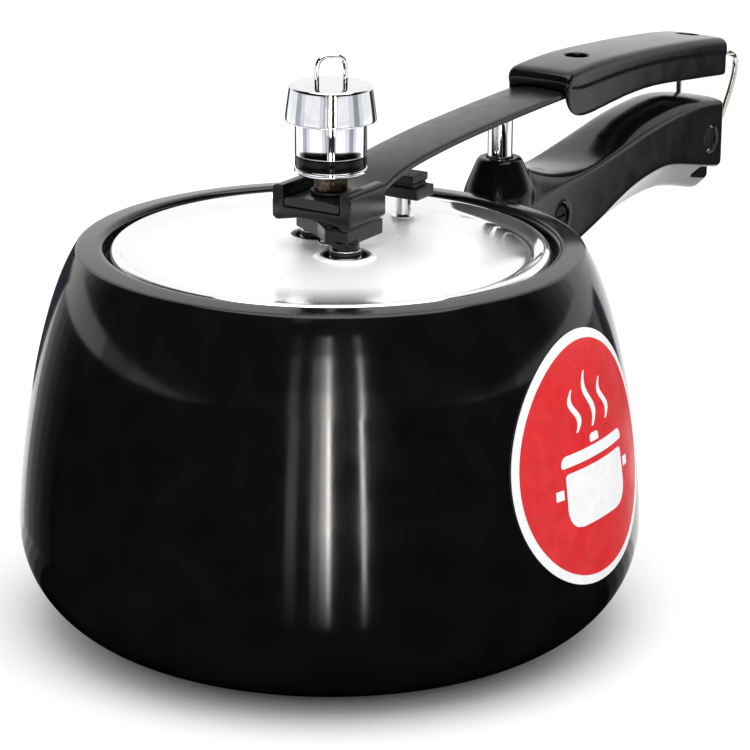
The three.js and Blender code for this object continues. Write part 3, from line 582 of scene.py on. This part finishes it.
def cooker_body():
    wall, base, seal = 3.25, 4, MOUTH_Z - 4.5
    rim = rounded([
        SIDE[-3], SIDE[-1], (RIM_RADIUS - 0.9, MOUTH_Z - 0.65, 1.2), (MOUTH_RADIUS + 1.3, MOUTH_Z, 1.4),
        (MOUTH_RADIUS, MOUTH_Z - 0.9, 1.0), (MOUTH_RADIUS, seal, 0.5), (87, seal, 0.4),
    ], 1.2, 5, closed=False)
    inside = [p for p in side_curve(-wall, 60) if p.y < seal - 1]
    under = [(p.x, max(p.y, base)) for p in corner_curve(-wall, 20)]
    base_ring = rounded([(0, 0.5), (30, 0.5), (31, 0), (58, 0), (66, 0)], 0.6, 3, closed=False)
    profile = [*base_ring, *corner_curve(0, 28)[1:], *SIDE[4:-3:4], *rim[:-1],
               (inside[-1].x - 1.4, seal), *reversed(inside), *reversed(under), (0, base)]
    return lathe([(p[0], p[1]) for p in profile], 256)


fine("cooker_body", cooker_body(), ANODISED, 30)


# ---- label ----


def on_wall(u, v, offset):
    """A point on the label: u to the right and v up from its middle, lifted off the wall by offset."""
    z = LABEL_Z + v
    radius = wall_radius(z) + offset
    angle = u / wall_radius(LABEL_Z) - math.pi / 2
    return (radius * math.cos(angle), radius * math.sin(angle), z)


def wall_disc(radius, low, high, rings=14, around=128):
    """A thin disc that follows the wall between two offsets."""
    vertices, rows = [], []
    for offset, order in ((low, range(rings + 1)), (high, range(rings, -1, -1))):
        for i in order:
            if i == 0:
                rows.append([len(vertices)] * around)
                vertices.append(on_wall(0, 0, offset))
                continue
            rows.append(range(len(vertices), len(vertices) + around))
            reach = radius * i / rings
            turns = [2 * math.pi * j / around for j in range(around)]
            for turn in turns:
                vertices.append(on_wall(reach * math.cos(turn), reach * math.sin(turn), offset))
    return vertices, wall_faces(rows, around)


def wall_strip(pairs, low, high, columns=10):
    """A thin patch that follows the wall, between the two edges given as pairs of (u, v) points."""
    rings = []
    for left, right in pairs:
        left, right = Vector(left), Vector(right)
        line = [left.lerp(right, k / columns) for k in range(columns + 1)]
        rings.append([on_wall(*p, low) for p in line] + [on_wall(*p, high) for p in reversed(line)])
    return loft(rings)


def steam_wisp(u, height):
    """Edges of a tapering S-shaped ribbon that rises from v = 10."""
    pairs = []
    for i in range(25):
        t = i / 24
        middle = u + 1.9 * math.sin(2 * math.pi * t)
        half = 0.25 + 1.15 * math.sin(math.pi * min(1, t * 0.9 + 0.08))
        pairs.append(((middle - half, 10 + height * t), (middle + half, 10 + height * t)))
    return pairs


def rounded_rows(half, low, high, corner_low, corner_high):
    """Edges of a box with rounded corners, symmetric about u = 0."""
    pairs = []
    for i in range(33):
        v = low + (high - low) * i / 32
        cut = 0
        for corner, depth in ((corner_low, v - low), (corner_high, high - v)):
            if depth < corner:
                cut = max(cut, corner - math.sqrt(max(0, corner ** 2 - (corner - depth) ** 2)))
        pairs.append(((cut - half, v), (half - cut, v)))
    return pairs


LABEL_Z = middle_of("body_label").z
LABEL_RADIUS = (high_of("body_label").z - low_of("body_label").z) / 2
fine("body_label", wall_disc(LABEL_RADIUS, GAP, 2 * GAP), LABEL_WHITE)
RED_LOW = 2 * GAP + 0.02


def sign(pairs, columns=6):
    """A white patch of the pictogram, printed over the red."""
    return wall_strip(pairs, RED_LOW + 0.07, RED_LOW + 0.12, columns), LABEL_WHITE


printed = {
    "label_red_disc": (wall_disc(LABEL_RADIUS - 2.9, RED_LOW, RED_LOW + 0.05), LABEL_RED),
    "label_pot": sign(rounded_rows(17, -19, -1.2, 7, 1.2), 20),
    "label_pot_lid": sign(rounded_rows(18.6, 0.8, 4.4, 0.9, 2.6), 20),
    "label_pot_knob": sign(rounded_rows(2.6, 5.4, 8, 0.4, 1.2)),
}
for name, side in (("left", -1), ("right", 1)):
    ear = [sorted(((side * 18.4, v), (side * 22, v))) for v in (-8.4, -7.4, -6.4, -5.4)]
    printed[f"label_pot_ear_{name}"] = sign(ear)
for i, (u, height) in enumerate(((-9, 13), (0, 17), (9, 13))):
    printed[f"label_steam_{i + 1}"] = sign(steam_wisp(u, height))
for name, (shape, material) in printed.items():
    dress(mesh_object(name, shape), "pot", material)


# ---- lid and gasket ----


def lid_relief(x, y, radius):
    """Height of the raised rims and dished seats of the two legs over the lid's own surface."""
    lift = 0
    for leg in LEG_PLACES:
        reach = math.hypot(x - leg[0], y - leg[1])
        outer = SEAT_RADIUS + SEAT_RIM
        if reach < outer + 1.6:
            rise = smooth_step(outer + 1.6, outer - 0.1, reach)
            drop = smooth_step(SEAT_RADIUS + 0.25, SEAT_RADIUS - 0.35, reach)
            lift += SEAT_RISE * rise - (SEAT_RISE + LID_TOP - SEAT_FLOOR) * drop
    crease = abs(y - 38 - 0.05 * x)
    if crease < 2.5 and -60 < x < 40 and radius < 62:
        lift -= 0.07 * (1 - crease / 2.5) ** 2 * smooth_step(-60, -40, x) * smooth_step(40, 20, x)
    return lift


def smooth_step(start, end, value):
    t = max(0, min(1, (value - start) / (end - start)))
    return t * t * (3 - 2 * t)


def lid():
    p = MOUTH_RADIUS - 1.3
    edge, thick, flange = MOUTH_RADIUS + 3.5, FLANGE_THICK, FLANGE_TOP
    top, bead, boss_low = LID_TOP, LID_TOP + 0.9, SEAT_FLOOR - FLANGE_THICK
    inner = [(r, top) for r in [0, *(3.5 + 0.3 * i for i in range(68))]]
    outer = rounded([
        (24, top), (p - 30.5, top - 0.35, 9), (p - 18.5, top - 0.9, 6), (p - 9, top - 1.5, 4),
        (p - 6.5, top - 1.3, 1.2), (p - 4.4, top - 0.2, 1), (p - 2.8, bead, 0.9),
        (p - 1.4, bead - 0.5, 0.8), (p - 0.5, bead - 1.7, 0.9), (p, bead - 3.3, 0.8),
        (p, flange + 0.6, 0.6), (p + 0.6, flange, 0.6),
        (edge, flange, 0.5), (edge, flange - thick, 0.5), (p - 1.2, flange - thick, 1),
        (p - 2.2, flange - thick + 1, 1),
        (p - 2.4, top - thick - 1.5, 1), (p - 5, top - thick - 1.2, 1), (p - 9, top - thick - 1.5, 1),
        (p - 18.5, top - thick - 0.9, 2), (26, top - thick - 0.1, 0.5), (24, boss_low, 0.5),
        (0, boss_low),
    ], 1, 5, closed=False)
    vertices, faces = lathe([(q[0], q[1]) for q in [*inner, *outer]], 320)
    shaped = []
    for x, y, z in vertices:
        radius = math.hypot(x, y)
        if z > top - 1.6 and radius < p - 8:
            z += lid_relief(x, y, radius)
        shaped.append((x, y, z))
    return shaped, faces


lid_piece = mesh_object("lid_fine", lid())
openings = [lathe([(0, 80), (1.9, 80), (1.9, 140), (0, 140)], 40, leg) for leg in LEG_PLACES]
combine(lid_piece, openings, "DIFFERENCE")
stand_for("lid", lid_piece, MIRROR, 25)


def gasket():
    m, top = MOUTH_RADIUS, MOUTH_Z - 4.8
    low, flange = FLANGE_TOP - FLANGE_THICK - 1.5, FLANGE_TOP
    return lathe(rounded([
        (m + 0.6, low), (m + 4.2, low), (m + 4.8, low + 0.8), (m + 4.8, top - 1.6), (m + 3.6, top),
        (m + 1, top),
        (m + 0.6, top - 1.2), (m + 0.6, flange + 0.3), (m + 3.8, flange + 0.3), (m + 3.8, flange - 2.5),
        (m + 0.6, flange - 2.5),
    ], 0.4, 3), 160)


fine("gasket", gasket(), RUBBER)


# ---- lid bar ----

BAR_FLAT = 12.9
BAR_END = high_of("lid_bar").x
BAR_START = low_of("lid_bar").x
bar_line = smooth_line([
    (-16, BAR_FLAT), (4, BAR_FLAT), (13, BAR_FLAT + 0.6), (24, BAR_FLAT + 3.6), (34, BAR_FLAT + 5.3),
    (48, BAR_FLAT + 6.6), (70, BAR_FLAT + 7.8), (FULCRUM_X - 4, BAR_FLAT + 8.6),
    (FULCRUM_X + 26, BAR_FLAT + 8.9),
    (FULCRUM_X + 53, BAR_FLAT + 8.6), (FULCRUM_X + 74, BAR_FLAT + 7.6), (FULCRUM_X + 93, BAR_FLAT + 6.3),
    (FULCRUM_X + 112, BAR_FLAT + 4.6), (FULCRUM_X + 129, BAR_FLAT + 2.8),
    (FULCRUM_X + 148, BAR_FLAT + 0.6),
])


def bar_outline(x):
    z = MOUTH_Z + bar_line(x)
    return mirrored([(0, z), (BAR_HALF - 0.2, z, 0.7), (BAR_HALF, z + 2.4, 1.0),
                     (BAR_HALF / 2, z + 3.05, 4), (0, z + BAR_THICK, 3)], 2, 5)


def spread(start, end, step):
    count = max(2, round((end - start) / step))
    return [start + (end - start) * i / count for i in range(count + 1)]


bar_rings = [across(x, bar_outline(x)) for x in spread(BAR_START, BAR_END, 1.5)]
fine("lid_bar", loft(bar_rings), BAR_PAINT, 40)


# ---- fulcrum post ----


def fulcrum_post():
    seat, stud = MOUTH_Z - 11.7, low_of("fulcrum_post").z
    return lathe(rounded([
        (0, stud), (2.5, stud), (2.5, seat), (4.3, seat), (4.3, POST_TOP - 2, 1.4),
        (3.6, POST_TOP - 0.6, 1.2), (0, POST_TOP),
    ], 0.3, 5, closed=False), 96, (FULCRUM_X, 0))


fine("fulcrum_post", fulcrum_post(), CHROME)


# ---- body handle ----

BODY_HANDLE_END = high_of("body_handle").x - FULCRUM_X
side_top = smooth_line([(0, -10.4), (18, -7.7), (42, -5.7), (65, -3.2), (85, -0.9), (102, 0.4), (119, 1),
                        (132, 0.5), (150, -1.6)])
side_bottom = smooth_line([(0, -36), (20, -33.4), (36, -29.7), (51, -25.9), (68, -20.8), (81, -18),
                           (96, -16.6), (108, -17.2), (124, -20.6), (136, -23.4), (150, -26.2)])
crest_top = smooth_line([(0, 3.5), (6, 3.4), (11, 1.3), (19, -1.7), (28, -3.9), (42, -5.4), (53, -4.6),
                         (65, -2), (76, 0.8), (88, 3.2), (104, 4.7), (119, 4.8), (132, 3.2), (150, -0.6)])
crest_bottom = smooth_line([(0, -41), (22, -40.4), (43, -37.2), (63, -33.7), (83, -30.6), (100, -29.3),
                            (115, -29.8), (128, -32.1), (141, -35.4), (150, -37.6)])


def body_handle_outline(along, inset=0.0):
    low = MOUTH_Z + crest_bottom(along) + inset
    edge_low = MOUTH_Z + side_bottom(along) + inset
    edge_top = MOUTH_Z + side_top(along) - inset
    top = MOUTH_Z + crest_top(along) - inset
    half = HANDLE_HALF - inset * 0.4
    return mirrored([(0, low, 1.6), (2.6, low + 1.1, 1.6), (half, edge_low, 0.9), (half, edge_top, 0.8),
                     (9.8, edge_top + 0.62 * (top - edge_top), 3),
                     (6, edge_top + 0.92 * (top - edge_top), 3), (0, top, 3)], 1, 4)


def body_blank(offset):
    """The space that the body fills, grown outwards."""
    side = side_curve(offset, 40)
    return lathe([(0, -5), (BODY_RADIUS + offset, -5), *[(p.x, p.y) for p in side],
                  (MOUTH_RADIUS, MOUTH_Z + 1), (0, MOUTH_Z + 1)], 200)


def cross_hole(radius, along, drop, y0, y1):
    """A round hole across the handle."""
    shape = lathe([(0, y0), (radius, y0), (radius, y1), (0, y1)], 48)
    return turned_to_y(shape, FULCRUM_X + along, MOUTH_Z + drop)


def body_handle():
    end = BODY_HANDLE_END
    stations = [*spread(0, end - 2.4, 1.6), end - 1.6, end - 0.8, end - 0.2, end]
    insets = [0.0] * (len(stations) - 4) + [0.1, 0.5, 1.1, 1.6]
    obj = mesh_object("body_handle_fine", loft([
        across(FULCRUM_X + along, body_handle_outline(along, inset))
        for along, inset in zip(stations, insets)]))
    z = MOUTH_Z
    tower = lathe(rounded([
        (0, z - 41), (8.5, z - 41), (HANDLE_HALF, z - 36), (HANDLE_HALF, z - 7.2, 3), (11.4, z - 3.7, 3),
        (7.9, z + 4.8, 0.8), (7.2, z + 5.8, 0.8), (0, z + 5.8),
    ], 1, 5, closed=False), 96, (FULCRUM_X, 0))
    combine(obj, [tower], "UNION")
    slots = [block(FULCRUM_X + 132.3, FULCRUM_X + end + 10, *sorted((side * 6.6, side * 11)),
                   z - 60, z - 9.05) for side in (-1, 1)]
    depth = HANDLE_HALF - 3
    recesses = [cross_hole(4.6, along, drop, *sorted((side * (depth + sink), side * 40)))
                for side in (-1, 1)
                for along, drop, sink in ((SCREW_ALONG, SCREW_DROP, 0), (PIN_ALONG, PIN_DROP, 0.8))]
    room = block(60, FULCRUM_X + 32.2, -7.7, 7.7, z - 27, z - 11.4)
    post_room = lathe([(0, z - 12.7), (4.6, z - 12.7), (4.6, z + 12), (0, z + 12)], 64, (FULCRUM_X, 0))
    screw_hole = cross_hole(2.3, SCREW_ALONG, SCREW_DROP, -30, 30)
    combine(obj, [body_blank(3.1), room, post_room, screw_hole, *recesses, *slots], "DIFFERENCE")
    soften(obj, 0.55, 7)
    return obj


stand_for("body_handle", body_handle(), BAKELITE, 180)


# ---- lid handle ----

LID_HANDLE_START = low_of("lid_handle").x - FULCRUM_X
lid_handle_top = smooth_line([
    (25, 28.4), (27.5, 30.6), (33, 31.3), (48, 31.5), (61, 31.1), (74, 30.3), (93, 28.9), (112, 27.2),
    (128, 25.5), (143, 23.5), (147.5, 22.3), (150, 19.6)])
lid_handle_low = smooth_line([
    (25, 22.2), (27.5, 18.8), (30.5, 16.3), (35, 14.6), (43, 14.1), (62, 15), (75, 15.3), (88, 15),
    (101, 13.9), (115, 12.3), (132, 10.3), (147, 8.6), (150, 9.4)])


def lid_handle_outline(along, inset=0.0):
    top = MOUTH_Z + lid_handle_top(along) - inset
    low = MOUTH_Z + lid_handle_low(along) + inset
    half = HANDLE_HALF - inset
    crease = low + 0.62 * (top - low)
    return mirrored([(0, low), (half - 0.35, low, 0.9), (half - 0.35, crease - 0.15, 0.1),
                     (half, crease + 0.15, 0.1), (half, top - 1.2, 1.6), (half - 1.3, top, 1.6),
                     (0, top + 0.35, 6)], 1, 5)


def lid_handle():
    start, end = LID_HANDLE_START, LID_HANDLE_END
    stations = [start, start + 0.5, start + 1.2, *spread(start + 2, end - 2, 1.5),
                end - 1.2, end - 0.5, end]
    insets = [0.9, 0.4, 0.12, *[0.0] * (len(stations) - 6), 0.12, 0.4, 0.9]
    obj = mesh_object("lid_handle_fine", loft([
        across(FULCRUM_X + along, lid_handle_outline(along, inset))
        for along, inset in zip(stations, insets)]))
    nose_top, nose_low = MOUTH_Z + 14.8, MOUTH_Z + 9.2
    nose = rounded([(-6, nose_low), (3.6, nose_low), (4.4, nose_low + 1), (4.4, nose_top - 2.6),
                    (1.6, nose_top), (-6, nose_top)], 0.4, 3)
    nose_rings = [[(FULCRUM_X + end + a, y, z) for a, z in nose] for y in (-8, 8)]
    combine(obj, [loft(nose_rings)], "UNION")
    room_rings = []
    for x in spread(FULCRUM_X + 20, BAR_END + GAP, 2):
        top = MOUTH_Z + bar_line(x) + BAR_THICK + GAP
        half = BAR_HALF + GAP
        outline = mirrored([(0, MOUTH_Z - 20), (half, MOUTH_Z - 20), (half, top - 0.5, 0.8),
                            (half / 2, top + 0.1, 3), (0, top + 0.3, 3)], 1, 3)
        room_rings.append(across(x, outline))
    tools = [loft(room_rings)]
    for along in (53, 139):
        seat = MOUTH_Z + bar_line(FULCRUM_X + along) + BAR_THICK + GAP + 2
        for radius, low in ((2.3, MOUTH_Z), (4.3, seat)):
            hole = [(0, low), (radius, low), (radius, 200), (0, 200)]
            tools.append(lathe(hole, 64, (FULCRUM_X + along, 0)))
    combine(obj, tools, "DIFFERENCE")
    soften(obj, 0.42, 5)
    return obj


stand_for("lid_handle", lid_handle(), BAKELITE, 180)


# ---- screws ----


def slotted_head(radius, low, height, x, y):
    """A domed screw head about Z with a slot across it."""
    profile = rounded([
        (0, low - 6), (1.9, low - 6), (1.9, low), (radius, low), (radius, low + height * 0.6, 0.5),
        (radius * 0.6, low + height, 1), (0, low + height)], 0.2, 4, closed=False)
    obj = mesh_object("head", lathe(profile, 64, (x, y)))
    combine(obj, [block(x - 5, x + 5, y - 0.5, y + 0.5, low + height - 1, low + 9)], "DIFFERENCE")
    return obj


for node in ("lid_handle_screw_inner", "lid_handle_screw_outer"):
    place = middle_of(node)
    stand_for(node, slotted_head(3.7, high_of(node).z - 1.8, 1.8, place.x, place.y), DARK_STEEL, 30)


def loop_pivot_pin():
    """A pin with two broad flat heads that fill the handle's recesses."""
    head, seat, tip = 4.3, HANDLE_HALF - 1.9, high_of("loop_pivot_pin").y
    profile = rounded([
        (0, -tip), (head, -tip, 0.3), (head, -seat, 0.1), (1.5, -seat), (1.5, seat), (head, seat, 0.1),
        (head, tip, 0.3), (0, tip)], 0.2, 3, closed=False)
    return turned_to_y(lathe(profile, 64), FULCRUM_X + PIN_ALONG, MOUTH_Z + PIN_DROP)


fine("loop_pivot_pin", loop_pivot_pin(), DARK_STEEL, 40)


# ---- lock loop ----


def lock_loop():
    pin_x, pin_z, eye, wire = FULCRUM_X + PIN_ALONG, MOUTH_Z + PIN_DROP, 2.95, 1.1
    x, z = FULCRUM_X + LID_HANDLE_END + 0.6 + wire + GAP, MOUTH_Z + 16.2
    slot, spread_y = LOOP_SLOT, 11.6
    eye_top = pin_z + eye
    half = [
        (pin_x, slot, eye_top), (pin_x + 5, slot, eye_top),
        (FULCRUM_X + BODY_HANDLE_END + 1.2, slot, eye_top + 0.1), (x + 0.4, slot + 0.9, eye_top + 2.2),
        (x + 2.2, slot + 2, eye_top + 7), (x + 4.6, spread_y - 0.4, eye_top + 15),
        (x + 5.9, spread_y, eye_top + 21.4), (x + 4.4, spread_y, eye_top + 25),
        (x + 1.8, spread_y, z - 0.4), (x + 0.2, spread_y - 1.2, z), (x, spread_y - 3, z), (x, 3, z),
    ]
    line = [(a, -b, c) for a, b, c in half] + half[::-1]
    obj = mesh_object("lock_loop_fine", tube(line, wire, 20, 8))
    turns = [2 * math.pi * k / 20 for k in range(20)]
    section = [(eye + wire * math.cos(turn), wire * math.sin(turn)) for turn in turns]
    vertices, faces = turned_to_y(lathe(section, 48), pin_x, pin_z)
    eyes = [([(a, b + side * slot, c) for a, b, c in vertices], faces) for side in (-1, 1)]
    combine(obj, eyes, "UNION")
    return obj


stand_for("lock_loop", lock_loop(), WIRE, 50)


# ---- bracket on the lid ----

mouldings = {"bar_saddle": BAKELITE, "bracket_base": BAKELITE, "safety_valve_body": ROUGH_BAKELITE}
for node, material in mouldings.items():
    moulding = copy_of(node)
    soften(moulding, 0.3, 4)
    stand_for(node, moulding, material, 180)


def ring(inner, outer, low, high, radius, steps, around, centre=(0, 0)):
    """A flat ring with rounded edges."""
    profile = rounded([(inner, low), (outer, low), (outer, high), (inner, high)], radius, steps)
    return lathe(profile, around, centre)


def leg_stack(side, place):
    """Stud, rubber washer and steel washer of a leg, from the seat's floor up, and a thin dark sheet in
    the seat that paints shade into it.
    """
    floor = SEAT_FLOOR
    rubber_low, steel_low, cone_top = floor + 4.35, floor + 5.7, floor + 4.1
    top, stud_top = low_of("bracket_base").z, high_of(f"leg_stud_{side}").z
    stud = lathe(rounded([
        (0, floor - 7.2), (2, floor - 7.2), (2, floor + GAP, 0.2), (6.3, floor + GAP, 0.3),
        (6.4, floor + 0.9, 0.3), (5.0, cone_top, 0.4), (2, cone_top), (2, stud_top), (0, stud_top),
    ], 0.15, 4, closed=False), 96, place)
    fine(f"leg_stud_{side}", stud, STEEL, 30)
    rubber_ring = ring(2.3, 5.2, rubber_low, rubber_low + 1.2, 0.5, 5, 96, place)
    fine(f"leg_rubber_washer_{side}", rubber_ring, RUBBER, 60)
    steel_ring = ring(2.3, 4.9, steel_low, top - GAP, 0.3, 4, 96, place)
    fine(f"leg_steel_washer_{side}", steel_ring, CHROME, 60)
    # A thin dark sheet lining the dished seat is not a real part. It stands in for the shade there:
    # painted shade.
    wall, shade_sheet_top = SEAT_RADIUS - 0.4, LID_TOP + SEAT_RISE - 0.3
    shade_sheet = lathe(rounded([
        (2.4, floor + 0.06), (wall - 0.5, floor + 0.06), (wall, floor + 0.5), (wall, shade_sheet_top),
        (wall - 0.5, shade_sheet_top + 0.1), (wall - 0.6, floor + 0.8), (wall - 1.1, floor + 0.25),
        (2.4, floor + 0.25)], 0.2, 3), 96, place)
    dress(mesh_object(f"leg_seat_painted_shade_{side}", shade_sheet), "lid_assembly", RUBBER, 60)


for side, place in zip(("front", "rear"), LEG_PLACES):
    leg_stack(side, place)


# ---- vent tube, nut, washer ----


def vent_tube():
    low, top = low_of("vent_tube").z, high_of("vent_tube").z
    shoulder = LID_TOP + GAP
    return lathe(rounded([
        (1.3, low), (3.2, low), (3.2, shoulder), (4, shoulder), (4, shoulder + 1.4),
        (3.2, shoulder + 1.4), (3.2, top - 0.8), (2.4, top), (1.3, top),
    ], 0.25, 4), 64)


fine("vent_tube", vent_tube(), CHROME)
fine("vent_hex_nut", nut(10.4, 3.5, low_of("vent_hex_nut").z, high_of("vent_hex_nut").z), BRONZE, 25)
washer = ring(3.5, 6.5, low_of("vent_washer").z, high_of("vent_washer").z, 0.25, 4, 80)
fine("vent_washer", washer, RUBBER)


# ---- vent weight ----


def weight_cap():
    low, top = low_of("weight_cap").z, high_of("weight_cap").z
    room, room_top = 9.3, low + 6
    shell = lathe(rounded([
        (0, room_top), (room, room_top), (room, low), (14, low, 0.4), (14.5, low + 0.6, 0.5),
        (14.3, low + 3, 3), (13.2, top - 1.05, 0.5), (12.6, top - 0.55, 0.5), (10.5, top - 0.3, 1.2),
        (6, top - 0.1, 3), (0, top),
    ], 0.4, 6, closed=False), 160)
    return mesh_object("weight_cap_fine", shell)


def weight_notches(low):
    """Five small vent notches under the rim of the cap."""
    tools = []
    for turn in (-96, -166, -236, -306, -16):
        shape = block(8, 20, -1.6, 1.6, low - 1, low + 0.5)
        spin = Matrix.Rotation(math.radians(turn), 3, "Z")
        tools.append(([tuple(spin @ Vector(v)) for v in shape[0]], shape[1]))
    return tools


cap = weight_cap()
combine(cap, weight_notches(low_of("weight_cap").z), "DIFFERENCE")
stand_for("weight_cap", cap, CHROME, 35)

BASE_LOW, RING_TOP = low_of("weight_base_ring").z, high_of("weight_base_ring").z
BAND_LOW, BAND_TOP = low_of("weight_band").z, high_of("weight_band").z
CAP_LOW = low_of("weight_cap").z - GAP
base_ring = lathe(rounded([
    (4.1, BASE_LOW), (11, BASE_LOW), (11.6, BASE_LOW + 0.6), (11.6, RING_TOP - 0.4), (11.3, RING_TOP),
    (4.1, RING_TOP)], 0.35, 4), 128)
fine("weight_base_ring", base_ring, CHROME)
fine("weight_band", ring(8.3, 11.35, BAND_LOW, BAND_TOP, 0.25, 4, 128), BAND)


def weight_body():
    top, low = high_of("weight_body").z, low_of("weight_body").z
    seat = high_of("vent_tube").z + GAP
    return lathe(rounded([
        (0, top), (8.7, top), (8.7, CAP_LOW), (11.4, CAP_LOW), (11.4, BAND_TOP + GAP),
        (8, BAND_TOP + GAP), (8, low), (4.1, low), (4.1, seat + 1), (1.7, seat + 1), (1.7, seat + 9),
        (0, seat + 9),
    ], 0.25, 4, closed=False), 128)


fine("weight_body", weight_body(), CHROME)


def finger_ring():
    top = high_of("weight_cap").z
    h = 4.7
    half = [(h, -3.2), (h, 0), (h + 0.1, 2), (h + 0.05, 4.6), (h - 0.6, 6.9), (h - 2.0, 8.0),
            (h - 3.4, 8.2)]
    points = [(-x, 0, top + z) for x, z in half] + [(x, 0, top + z) for x, z in reversed(half)]
    vertices, faces = tube(points, 0.8, 20, 8)
    spin = Matrix.Rotation(math.radians(-38), 3, "Z")
    return [tuple(spin @ Vector(v)) for v in vertices], faces


fine("weight_finger_ring", finger_ring(), CHROME, 60)


# ---- pieces kept from the frame ----

KEPT = {
    STEEL: ["handle_bracket", "bracket_rivet_left", "bracket_rivet_right", "fulcrum_post_nut",
            "leg_nut_front", "leg_nut_rear", "vent_tube_nut", "safety_valve_nut", "weight_seat_pin"],
    DARK_STEEL: ["body_handle_screw", "body_handle_nut"],
    CHROME: ["safety_valve_stem", "safety_valve_washer"],
}
for material, nodes in KEPT.items():
    for node in nodes:
        mesh = frame["nodes"][node].data
        mesh.materials.clear()
        mesh.materials.append(material)


# ---- floor, light and camera ----

# Angles are degrees about Z, anticlockwise from +X. The front is the side that the camera is on.
FRONT = 212.8
SCREEN, SCREEN_TOP = 160, 108


def floor():
    reach = 9000
    corners = [(-reach, -reach, 0), (reach, -reach, 0), (reach, reach, 0), (-reach, reach, 0)]
    obj = mesh_object("floor", (corners, [(0, 1, 2, 3)]))
    surface = Surface("floor", (0.9, 0.9, 0.9), 0.8, specular=0.0)
    surface.tint(surface.grain(400), (0.89, 0.89, 0.89), (0.91, 0.91, 0.91))
    obj.data.materials.append(surface.material)


def soft_light(name, place, aim, size, power):
    data = bpy.data.lights.new(name, "AREA")
    data.shape = "RECTANGLE"
    data.size, data.size_y = size
    data.energy = power
    obj = bpy.data.objects.new(name, data)
    obj.location = place
    obj.rotation_mode = "QUATERNION"
    obj.rotation_quaternion = (Vector(aim) - Vector(place)).to_track_quat("-Z", "Y")
    bpy.context.scene.collection.objects.link(obj)


def gloss_card(name, start, end, inner, outer, low, high, colour=(0.001, 0.001, 0.001), glow=0.0):
    """Part of a ring round the object that only its gloss sees: a screen, a cloth or a strip light."""
    columns = max(2, round((end - start) / 4))
    rings = []
    for i in range(columns + 1):
        angle = math.radians(start + (end - start) * i / columns)
        rings.append([(r * math.cos(angle), r * math.sin(angle), z) for r, z in (
            (inner, low), (outer, low), (outer, high), (inner, high))])
    obj = mesh_object(name, loft(rings))
    surface = Surface(name, colour, 1.0, specular=0.0)
    surface.shader.inputs["Emission Color"].default_value = (1, 0.97, 0.94, 1)
    surface.shader.inputs["Emission Strength"].default_value = glow
    obj.data.materials.append(surface.material)
    obj.visible_camera = False
    obj.visible_diffuse = False
    obj.visible_shadow = False
    obj.visible_transmission = False


def strip_light(name, start, end, glow):
    """A tall thin light that fades towards the floor, in a near part and a far part above it."""
    steps = 12
    for i in range(steps):
        low, high = 1 + i * 5, SCREEN_TOP if i == steps - 1 else 6 + i * 5
        share = ((i + 1) / steps) ** 2
        gloss_card(f"{name}_near_{i}", start, end, SCREEN - 2, SCREEN - 1, low, high, glow=glow * share)
    far = [FRONT + (turn - FRONT) * 1.32 for turn in (start, end)]
    for i, (low, high, share) in enumerate(((104, 190, 0.9), (190, 270, 0.6), (270, 350, 0.2))):
        gloss_card(f"{name}_far_{i}", *far, 400, 402, low, high, glow=glow * share)


def shade(name, start, end, inner, outer, low, high, soft):
    """A black screen whose two ends fade to grey over soft degrees."""
    gloss_card(name, start, end, inner, outer, low, high)
    for i, grey in enumerate((0.04, 0.12, 0.26, 0.5)):
        colour = (grey, grey, grey)
        near, far = soft * i / 4, soft * (i + 1) / 4
        gloss_card(f"{name}_start_{i}", start - far, start - near, inner, outer, low, high, colour)
        gloss_card(f"{name}_end_{i}", end + near, end + far, inner, outer, low, high, colour)


def studio():
    world = bpy.data.worlds.new("studio")
    world.use_nodes = True
    background = world.node_tree.nodes["Background"]
    background.inputs["Color"].default_value = (1.0, 1.0, 1.0, 1)
    background.inputs["Strength"].default_value = 1.0
    bpy.context.scene.world = world
    soft_light("overhead", (-0.1, -0.2, 1.5), (0.05, 0, 0), (1.6, 1.6), 16)
    shade("low_screen", 122, 296, SCREEN, SCREEN + 2, 1, SCREEN_TOP, 26)
    shade("near_cloth", 122, 296, 70, SCREEN, 1, 2, 26)
    shade("room_behind_camera", 102, 312, 1500, 1510, 305, 2600, 26)
    for i, (start, end, grey) in enumerate((
            (92, 100, 0.75), (113, 130, 0.36), (130, 142, 0.62), (184, 194, 0.6), (194, 205.5, 0.36),
            (205.5, 224.5, 0.002), (224.5, 229, 0.5), (258, 272, 0.62), (272, 288, 0.27),
            (288, 300, 0.6))):
        colour = (grey, grey * 1.02, grey * 1.08)
        gloss_card(f"cloth_{i}", start, end, 164, 1490, 2, 3, colour)
        gloss_card(f"screen_{i}", start, end, 1490, 1494, 3, 303, colour)
    gloss_card("cloth_edge_left", 40, 68, 300, 3000, 2, 3, (0.03, 0.035, 0.045))
    gloss_card("cloth_edge_right", 337, 357, 300, 3000, 2, 3, (0.03, 0.035, 0.045))
    strip_light("strip_soft", 202.0, 204.5, 1.3)
    strip_light("strip_edge", 208.2, 210.4, 2.8)
    strip_light("strip_slope", 210.4, 212.0, 9)
    strip_light("strip_core", 212.0, 212.9, 36)
    strip_light("strip_second", 220.6, 221.5, 22)


def camera():
    data = bpy.data.cameras.new("camera")
    data.lens = 158.4
    data.sensor_width = 36
    data.clip_end = 50
    obj = bpy.data.objects.new("camera", data)
    place, aim = Vector((-0.8464, -0.5457, 0.4012)), Vector((0.00758, -0.01213, 0.08051))
    obj.location = place
    obj.rotation_mode = "QUATERNION"
    roll = Quaternion((0, 0, 1), math.radians(0.42))
    obj.rotation_quaternion = (aim - place).to_track_quat("-Z", "Y") @ roll
    bpy.context.scene.collection.objects.link(obj)
    bpy.context.scene.camera = obj


floor()
studio()
camera()
bpy.context.scene.view_settings.view_transform = "Standard"
